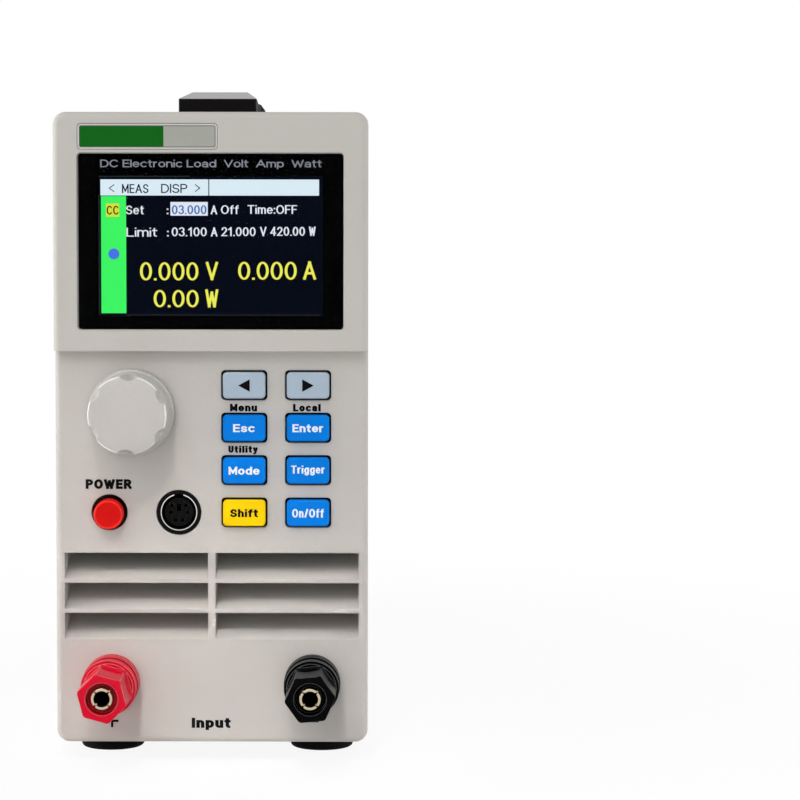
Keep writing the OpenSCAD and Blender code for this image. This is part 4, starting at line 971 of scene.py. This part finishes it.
screenPlan = {
    "front": -0.13003,
    "thick": 0.00006,
    "fieldLift": 0.00002,  # each field lies on the one before
    "wordLift": 0.0003,
    "dot": 0.2612,  # mm on the panel for one step of the layout
    "middle": (211.25, 245.75),
    "centre": 130.9,
    # left, top, right, bottom in layout steps
    "fields": [
        ("navy", 99.5, 177, 322.5, 316),
        ("line", 99.0, 176.6, 190, 177.4),
        ("line", 126, 314.6, 320, 315.4),
        ("line", 99.0, 196, 99.9, 315),
        ("pale", 101, 180, 208.6, 196),
        ("pale", 209.6, 180, 319, 196),
        ("green", 101.5, 196.6, 126.5, 313.4),
        ("box", 106.6, 204, 119.6, 217.2),
        ("white", 170.8, 202.4, 208, 216),
    ],
    "spot": (114.2, 254.2, 5.5),  # middle and radius
    # text, ink, left, top, right, bottom and weight of the strokes
    "words": [
        ("<", "dark", 109.5, 184.4, 115.0, 193.2, 1.0),
        ("MEAS", "dark", 122.6, 184.6, 149.0, 193.8, 1.3),
        ("DISP", "dark", 161.6, 184.4, 187.8, 193.6, 1.3),
        (">", "dark", 195.4, 184.2, 200.6, 193.0, 1.0),
        ("CC", "dark", 107.2, 206.2, 119.2, 215.2, 1.3),
        ("Set", "white", 126.4, 205.8, 144.4, 215.0, 1.5),
        (":", "white", 167.2, 206.0, 168.9, 215.0, 1.6),
        ("03.000", "sky", 172.2, 205.4, 206.8, 214.8, 1.5),
        ("A", "white", 211.0, 205.8, 217.4, 214.8, 1.5),
        ("Off", "white", 221.2, 205.4, 239.0, 214.6, 1.5),
        ("Time:OFF", "white", 247.8, 205.2, 297.2, 214.4, 1.5),
        ("Limit", "white", 126.8, 227.8, 157.6, 237.2, 1.5),
        (":", "white", 167.4, 228.2, 169.1, 237.2, 1.6),
        ("03.100", "white", 172.0, 227.4, 207.0, 236.8, 1.5),
        ("A", "white", 211.2, 227.6, 217.6, 236.8, 1.5),
        ("21.000", "white", 221.6, 227.2, 255.8, 236.6, 1.5),
        ("V", "white", 260.2, 227.0, 266.6, 236.4, 1.5),
        ("420.00", "white", 270.4, 226.8, 305.0, 236.2, 1.5),
        ("W", "white", 309.0, 226.6, 315.6, 236.0, 1.5),
        ("0.000", "yellow", 140.2, 262.0, 198.6, 281.0, 2.7),
        ("V", "yellow", 206.0, 261.8, 218.2, 280.4, 2.7),
        ("0.000", "yellow", 238.2, 261.4, 296.8, 280.2, 2.7),
        ("A", "yellow", 303.2, 261.2, 316.0, 279.8, 2.7),
        ("0.00", "yellow", 153.8, 289.6, 198.8, 307.8, 2.7),
        ("W", "yellow", 205.4, 289.2, 218.4, 307.6, 2.6),
    ],
}


def lightScreen(plan):
    midX, midY = plan["middle"]
    dot, centre = plan["dot"], plan["centre"]

    def onPanel(left, top, right, bottom):
        across = [(x - midX) * dot for x in (left, right)]
        return caseBox(*across, *(centre - (y - midY) * dot for y in (bottom, top)))

    sheet = PrintSheet("display_dots", plan["front"], plan["thick"])
    for rank, (ink, *edges) in enumerate(plan["fields"]):
        sheet.shapes([boxLoop(*onPanel(*edges))], screenInks[ink], lift=plan["fieldLift"] * rank)
    x, y, radius = plan["spot"]
    disc = discLoop(*onPanel(x, y, x, y)[::2], radius * dot * mm)
    sheet.shapes([disc], screenInks["blue"], lift=plan["wordLift"])
    for text, ink, *edges, weight in plan["words"]:
        sheet.words(text, onPanel(*edges), screenInks[ink], weight * dot * mm, lift=plan["wordLift"])
    sheet.finish("case", "display_panel")


lightScreen(screenPlan)
print("display lit")

# Knob: turned body with a crowned face, and thumb hollows pressed into its rim

knob = {
    "around": 300,
    "faceRadius": 9.75,
    "faceSteps": 14,
    "crown": 0.3,
    "edge": 0.45,
    "edgeSteps": 8,
    "rimRadius": 10.7,
    "sideSteps": 40,
    "highlightRings": (15, 21),  # steps of the profile painted lighter, a painted highlight
    "skirtFrom": 11.3,  # mm behind the face
    "skirtRound": 0.3,
    "skirtSteps": 4,
    "sharp": 40.0,
    "hollows": 6,
    "hollowTurn": 28.0,
    "hollowReach": 11.75,  # hollow centres, mm from the axis
    "hollowRadius": 3.0,
    "hollowAhead": 1.0,
    "hollowLength": 2.4,  # stretch of a hollow along the axis
}


def frontAxis(node):
    # middle of the front, width and depth in mm
    low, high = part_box(node)
    middle = Vector(((low.x + high.x) / 2, low.y, (low.z + high.z) / 2))
    return middle, (high.x - low.x) / mm, (high.y - low.y) / mm


def roundedCorner(radius, depth, fillet, steps):
    angles = [math.radians(90 * k / steps) for k in range(steps + 1)]
    return [(radius + fillet * math.sin(a), depth + fillet * (1 - math.cos(a))) for a in angles]


def ringPoints(plan, radius, depth):
    angles = anglesRound(plan["around"] if radius else 1)
    return [Vector((radius * math.cos(a), depth, radius * math.sin(a))) for a in angles]


def ringedPiece(name, build, rings, plan, slots):
    # skin over rings of points; the faces of some rings take the second finish, a lighter one that paints a
    # highlight
    first, last = plan["highlightRings"]
    for step, (a, b) in enumerate(zip(rings, rings[1:])):
        around = max(len(a), len(b))
        for k in range(around):
            j = (k + 1) % around
            corners = dict.fromkeys((a[k % len(a)], a[j % len(a)], b[j % len(b)], b[k % len(b)]))
            build.faces.new(corners).material_index = int(first <= step < last)
    mesh = meshFrom(build, name)
    for polygon in mesh.polygons:
        polygon.use_smooth = True
    mesh.set_sharp_from_angle(angle=math.radians(plan["sharp"]))
    for slot in slots:
        mesh.materials.append(finishes[slot])
    return placePiece(name, mesh)


def knobProfile(plan, radius, deep):
    # radius and depth behind the face, in mm, from the middle of the face to the middle of the back
    face, edge, crown, skirt = (plan[k] for k in ("faceRadius", "edge", "crown", "skirtFrom"))
    steps, sides, soft = plan["faceSteps"], plan["sideSteps"], plan["skirtRound"]
    points = [(face * k / steps, crown * (k / steps) ** 2) for k in range(steps + 1)]
    points += roundedCorner(face, crown, edge, plan["edgeSteps"])[1:]
    side, top = face + edge, crown + edge
    for k in range(1, sides + 1):
        points.append((side + (plan["rimRadius"] - side) * k / sides, top + (skirt - top) * k / sides))
    points += roundedCorner(radius - soft, skirt, soft, plan["skirtSteps"])
    points += [(radius, deep - soft), (radius - soft / 2, deep - soft / 6), (radius - soft, deep)]
    return points + [(radius / 2, deep), (0.0, deep)]


def pressHollows(plan, point, hollows):
    for middle in hollows:
        away = point - middle
        along = away.y / plan["hollowLength"]
        if Vector((away.x, along, away.z)).length < plan["hollowRadius"]:
            flat = Vector((away.x, 0, away.z)).normalized()
            inside = max(plan["hollowRadius"] ** 2 - along ** 2, 0.0) ** 0.5
            point = Vector((middle.x, point.y, middle.z)) + flat * inside
    return point


def makeKnob(plan):
    axis, wide, deep = frontAxis("control_knob")
    hollows = []
    for k in range(plan["hollows"]):
        a = math.radians(plan["hollowTurn"] + 360.0 * k / plan["hollows"])
        reach = plan["hollowReach"]
        hollows.append(Vector((reach * math.cos(a), -plan["hollowAhead"], reach * math.sin(a))))
    build = bmesh.new()
    rings = []
    for r, back in knobProfile(plan, wide / 2, deep):
        points = ringPoints(plan, r, back)
        if back < plan["skirtFrom"]:
            points = [pressHollows(plan, point, hollows) for point in points]
        rings.append([build.verts.new(axis + point * mm) for point in points])
    piece = ringedPiece("turning_knob", build, rings, plan, ("knob_plastic", "knob_rim"))
    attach(piece, "knob")
    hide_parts("control_knob")


makeKnob(knob)
print("knob turned")

# Power button: a turned cap with a soft rim, with its own flange and plunger behind it

powerCap = {
    "around": 96,
    "radius": 3.86,
    "drop": 0.28,
    "round": 0.5,
    "roundSteps": 8,
    # profile steps of the rim take the lighter red, a painted highlight
    "highlightRings": (6, 11),
    "dish": 0.12,
    "dishRadius": 3.3,
    "dishSteps": 6,
    "flange": (5.55, 7.2, 8.3),  # radius, front and back of the flange behind the panel
    "plunger": 1.8,
    "sharp": 50.0,
}


def makePowerCap(plan):
    axis, deep = frontAxis("power_button")[::2]
    dropped = axis + Vector((0, 0, -plan["drop"] * mm))
    radius, fillet, inner, steps = (plan[k] for k in ("radius", "round", "dishRadius", "dishSteps"))
    profile = [(inner * k / steps, plan["dish"] * (1 - (k / steps) ** 4)) for k in range(steps + 1)]
    profile += roundedCorner(radius - fillet, 0.0, fillet, plan["roundSteps"])
    flange, front, back = plan["flange"]
    profile += [(radius, front), (flange, front), (flange, back)]
    profile += [(plan["plunger"], back), (plan["plunger"], deep), (0.0, deep)]
    build = bmesh.new()
    rings = []
    for r, y in profile:
        middle = dropped if y < front and r <= radius else axis
        rings.append([build.verts.new(middle + point * mm) for point in ringPoints(plan, r, y)])
    piece = ringedPiece("power_cap", build, rings, plan, ("button_red", "button_rim"))
    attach(piece, "power_button")
    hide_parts("power_button")


makePowerCap(powerCap)
print("power button turned")

# Repeats grown by Geometry Nodes

repeatInputs = {
    "Geometry": "NodeSocketGeometry",
    "Shape": "NodeSocketObject",
    "Width": "NodeSocketFloat",
    "Height": "NodeSocketFloat",
    "Finish": "NodeSocketMaterial",
}


def repeatTree(name):
    # a tree that sets one object on every point of the mesh, turned by the point's own facing
    tree = bpy.data.node_groups.new(name, "GeometryNodeTree")
    for label, kind in repeatInputs.items():
        tree.interface.new_socket(label, in_out="INPUT", socket_type=kind)
    tree.interface.new_socket("Geometry", in_out="OUTPUT", socket_type="NodeSocketGeometry")
    given = tree.nodes.new("NodeGroupInput")
    pen = Strand(tree)
    take = {label: Strand(tree, given.outputs[label]) for label in repeatInputs}
    shape = pen.node("GeometryNodeObjectInfo", {}, {"Object": take["Shape"]}, out="Geometry")
    facing = pen.node("GeometryNodeInputNamedAttribute", {"data_type": "FLOAT_VECTOR"}, {"Name": "facing"})
    turned = pen.node("FunctionNodeEulerToRotation", {}, {"Euler": facing})
    sizes = {"X": take["Width"], "Y": take["Width"], "Z": take["Height"]}
    scaled = pen.node("ShaderNodeCombineXYZ", {}, sizes)
    spots = {"Points": take["Geometry"], "Instance": shape, "Rotation": turned, "Scale": scaled}
    placed = pen.node("GeometryNodeInstanceOnPoints", {}, spots)
    solid = pen.node("GeometryNodeRealizeInstances", {}, {"Geometry": placed})
    painted = pen.node("GeometryNodeSetMaterial", {}, {"Geometry": solid, "Material": take["Finish"]})
    pen.node("NodeGroupOutput", {}, {"Geometry": painted})
    return tree


repeats = repeatTree("repeatShape")


def growRepeats(name, shape, seats, width, height, finish):
    # seats: place and direction of each copy
    mesh = bpy.data.meshes.new(name + "_points")
    mesh.from_pydata([tuple(spot) for spot, way in seats], [], [])
    facing = mesh.attributes.new("facing", "FLOAT_VECTOR", "POINT")
    for k, (spot, way) in enumerate(seats):
        facing.data[k].vector = way.to_track_quat("Z", "Y").to_euler()
    holder = bpy.data.objects.new(name + "_points", mesh)
    grown = holder.modifiers.new("grow", "NODES")
    grown.node_group = repeats
    values = {"Shape": shape, "Width": width, "Height": height, "Finish": finish}
    for item in repeats.interface.items_tree:
        if item.in_out == "INPUT" and item.name in values:
            grown[item.identifier] = values[item.name]
    made = evaluated(holder)
    holder.modifiers.remove(grown)
    bpy.data.objects.remove(holder)
    bpy.data.meshes.remove(mesh)
    return made


screwHeads = {
    "around": 28,
    # radius and height of the shank's and the head's outline, both as shares
    "outline": [(0.53, -1.6), (0.53, 0.0), (1.0, 0.0), (1.0, 0.5), (0.95, 0.74), (0.84, 0.93), (0.7, 1.0)],
    "arm": 0.56,  # cross recess
    "slot": 0.15,
    "floor": 0.3,
    "taper": 0.8,
    "headShare": 0.8,  # points further out than this share of the radius belong to the head
    "nodes": {
        "case_screws": "case_screw_heads",
        "fan_screws": "fan_screw_heads",
        "foot_screws": "foot_screw_heads",
    },
}


def makeScrewShape(plan):
    build = bmesh.new()
    rings = []
    for r, height in plan["outline"]:
        spots = [(r * math.cos(a), r * math.sin(a), height) for a in anglesRound(plan["around"])]
        rings.append([build.verts.new(spot) for spot in spots])
    for a, b in zip(rings, rings[1:]):
        wall(build, a, b)
    build.faces.new(rings[0])
    slot, arm, taper = plan["slot"], plan["arm"], plan["taper"]
    cross = [(slot, slot), (slot, arm), (-slot, arm)]
    for k in range(9):
        cross.append((-cross[k][1], cross[k][0]))
    brim = [build.verts.new((x, y, 1.0)) for x, y in cross]
    floor = [build.verts.new((x * taper, y * taper, plan["floor"])) for x, y in cross]
    wall(build, brim, floor)
    build.faces.new(floor)
    edges = []
    for loop in (rings[-1], brim):
        for pair in zip(loop, loop[-1:] + loop[:-1]):
            edges.append(build.edges.get(pair) or build.edges.new(pair))
    bmesh.ops.triangle_fill(build, edges=edges, use_beauty=True)
    return bpy.data.objects.new("screwShape", meshFrom(build, "screwShape"))


def islandsOf(node):
    # corner points of each separate solid in a node
    build = bmesh.new()
    build.from_mesh(nodes[node].data)
    bmesh.ops.remove_doubles(build, verts=build.verts, dist=1e-6)
    left, found = set(build.verts), []
    while left:
        queue, island = [left.pop()], []
        while queue:
            vert = queue.pop()
            island.append(vert.co.copy())
            for edge in vert.link_edges:
                other = edge.other_vert(vert)
                if other in left:
                    left.remove(other)
                    queue.append(other)
        found.append(island)
    build.free()
    return found


def screwSeats(node, headShare):
    # seat, outward direction, head radius and head thickness of each screw
    seats = []
    for island in islandsOf(node):
        low = Vector(min(p[k] for p in island) for k in range(3))
        high = Vector(max(p[k] for p in island) for k in range(3))
        size, middle = high - low, (low + high) / 2
        along = max(range(3), key=lambda k: abs(size[k] - sorted(size)[1]))
        radius = max(size[k] for k in range(3) if k != along) / 2
        wide = []
        for point in island:
            aside = point - middle
            aside[along] = 0.0
            if aside.length > radius * headShare:
                wide.append(point[along])
        outward = 1 if sum(wide) / len(wide) > middle[along] else -1
        seat = middle.copy()
        seat[along] = min(wide) if outward > 0 else max(wide)
        way = Vector([outward * (k == along) for k in range(3)])
        seats.append((seat, way, radius, max(wide) - min(wide)))
    return seats


def makeScrews(plan):
    shape = makeScrewShape(plan)
    for node, name in plan["nodes"].items():
        groups = {}
        for seat, way, radius, thick in screwSeats(node, plan["headShare"]):
            groups.setdefault((round(radius, 5), round(thick, 5)), []).append((seat, way))
        build = bmesh.new()
        for (radius, thick), seats in sorted(groups.items()):
            part = growRepeats(name, shape, seats, radius, thick, finishes[slotOf[node]])
            build.from_mesh(part)
            bpy.data.meshes.remove(part)
        mesh = bpy.data.meshes.new(name)
        build.to_mesh(mesh)
        build.free()
        mesh.materials.append(finishes[slotOf[node]])
        piece = placePiece(name, mesh)
        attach(piece, "case")
        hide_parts(node)
        print(name, "from", sum(len(s) for s in groups.values()), "screws")
    bpy.data.objects.remove(shape)


makeScrews(screwHeads)

# Strap handle: one half for each end, turning once at its hinge and meeting in the middle of the grip

strap = {
    "wide": 15.5,
    "thick": 3.0,
    "corner": 1.1,
    "steps": 64,
    "bend": 20.0,  # mm each side of the hinge over which the strap turns
    "turnSteps": (0.4, 0.75),  # share of the steps before and up to the end of the turn
    # ribs round the middle of the grip
    "ribs": 11,
    "ribPitch": 2.4,
    "ribLong": 1.5,
    "ribStands": 0.25,
    "ribSoft": 0.2,
    "halves": (
        ("strap_front", "handle_front_link", "front_strap_tilt"),
        ("strap_rear", "handle_rear_link", "rear_strap_tilt"),
    ),
}


def strapPath(plan, tail, hinge, middle):
    # straight from the tail, one smooth turn at the hinge, level to the middle
    before = hinge + (tail - hinge).normalized() * plan["bend"] * mm
    after = hinge + (middle - hinge).normalized() * plan["bend"] * mm
    start, end = plan["turnSteps"]
    points = []
    for k in range(plan["steps"] + 1):
        t = k / plan["steps"]
        if t < start:
            points.append(tail.lerp(before, t / start))
        elif t < end:
            s = (t - start) / (end - start)
            points.append(before.lerp(hinge, s).lerp(hinge.lerp(after, s), s))
        else:
            points.append(after.lerp(middle, (t - end) / (1 - end)))
    return points


def strapLoop(plan, grow=0.0):
    return roundedLoop((0.0, 0.0), plan["wide"] + grow, plan["thick"] + grow, plan["corner"], steps=4)


def makeStrapHalf(name, plan, link, tail, hinge, middle):
    path = strapPath(plan, tail, hinge, middle)
    build = bmesh.new()
    rings = []
    for k, point in enumerate(path):
        ahead = (path[min(k + 1, len(path) - 1)] - path[max(k - 1, 0)]).normalized()
        up = Vector((1, 0, 0)).cross(ahead)
        up = up if up.z > 0 else -up
        rings.append([build.verts.new(point + (Vector((x, 0, 0)) + up * z) * mm) for x, z in strapLoop(plan)])
    mesh = tubeMesh(name, build, rings)
    for polygon in mesh.polygons:
        polygon.use_smooth = len(polygon.vertices) == 4
    mesh.materials.append(finishes["handle_rubber"])
    piece = placePiece(name, mesh)
    toward = (middle - hinge).normalized() * plan["bend"] * mm
    tuple(hinge - toward)
    tuple(hinge + toward)
    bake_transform(piece)
    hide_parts(link, "handle_grip")


def makeRibShape(plan):
    # one flat ring round the strap, with softened edges
    build = bmesh.new()
    half, soft = plan["ribLong"] / 2, plan["ribSoft"]
    rings = []
    for along, inset in ((-half, soft), (soft - half, 0.0), (half - soft, 0.0), (half, soft)):
        loop = strapLoop(plan, 2 * (plan["ribStands"] - inset))
        rings.append([build.verts.new(Vector((x, along, z)) * mm) for x, z in loop])
    return bpy.data.objects.new("ribShape", tubeMesh("ribShape", build, rings))


def makeRibs(plan, middle):
    shape = makeRibShape(plan)
    start = -(plan["ribs"] - 1) / 2
    steps = [(start + k) * plan["ribPitch"] * mm for k in range(plan["ribs"])]
    seats = [(middle + Vector((0, step, 0)), Vector((0, 0, 1))) for step in steps]
    mesh = growRepeats("grip_ribs", shape, seats, 1.0, 1.0, finishes["handle_rubber"])
    bpy.data.objects.remove(shape)
    piece = placePiece("grip_ribs", mesh)
    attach(piece, "handle_grip")


def makeStrap(plan):
    hinges = {j["name"]: Vector(j["pos_m"]) for j in frame["joints"] if j["name"].endswith("_strap_tilt")}
    middle = sum(hinges.values(), Vector((0, 0, 0))) / 2
    for name, link, joint in plan["halves"]:
        hinge = hinges[joint]
        low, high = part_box(link)
        radius = high.z - hinge.z
        back = low.y + radius if hinge.y < middle.y else high.y - radius
        makeStrapHalf(name, plan, link, Vector((0, back, low.z + radius)), hinge, middle)
    makeRibs(plan, middle)


makeStrap(strap)
print("strap made")
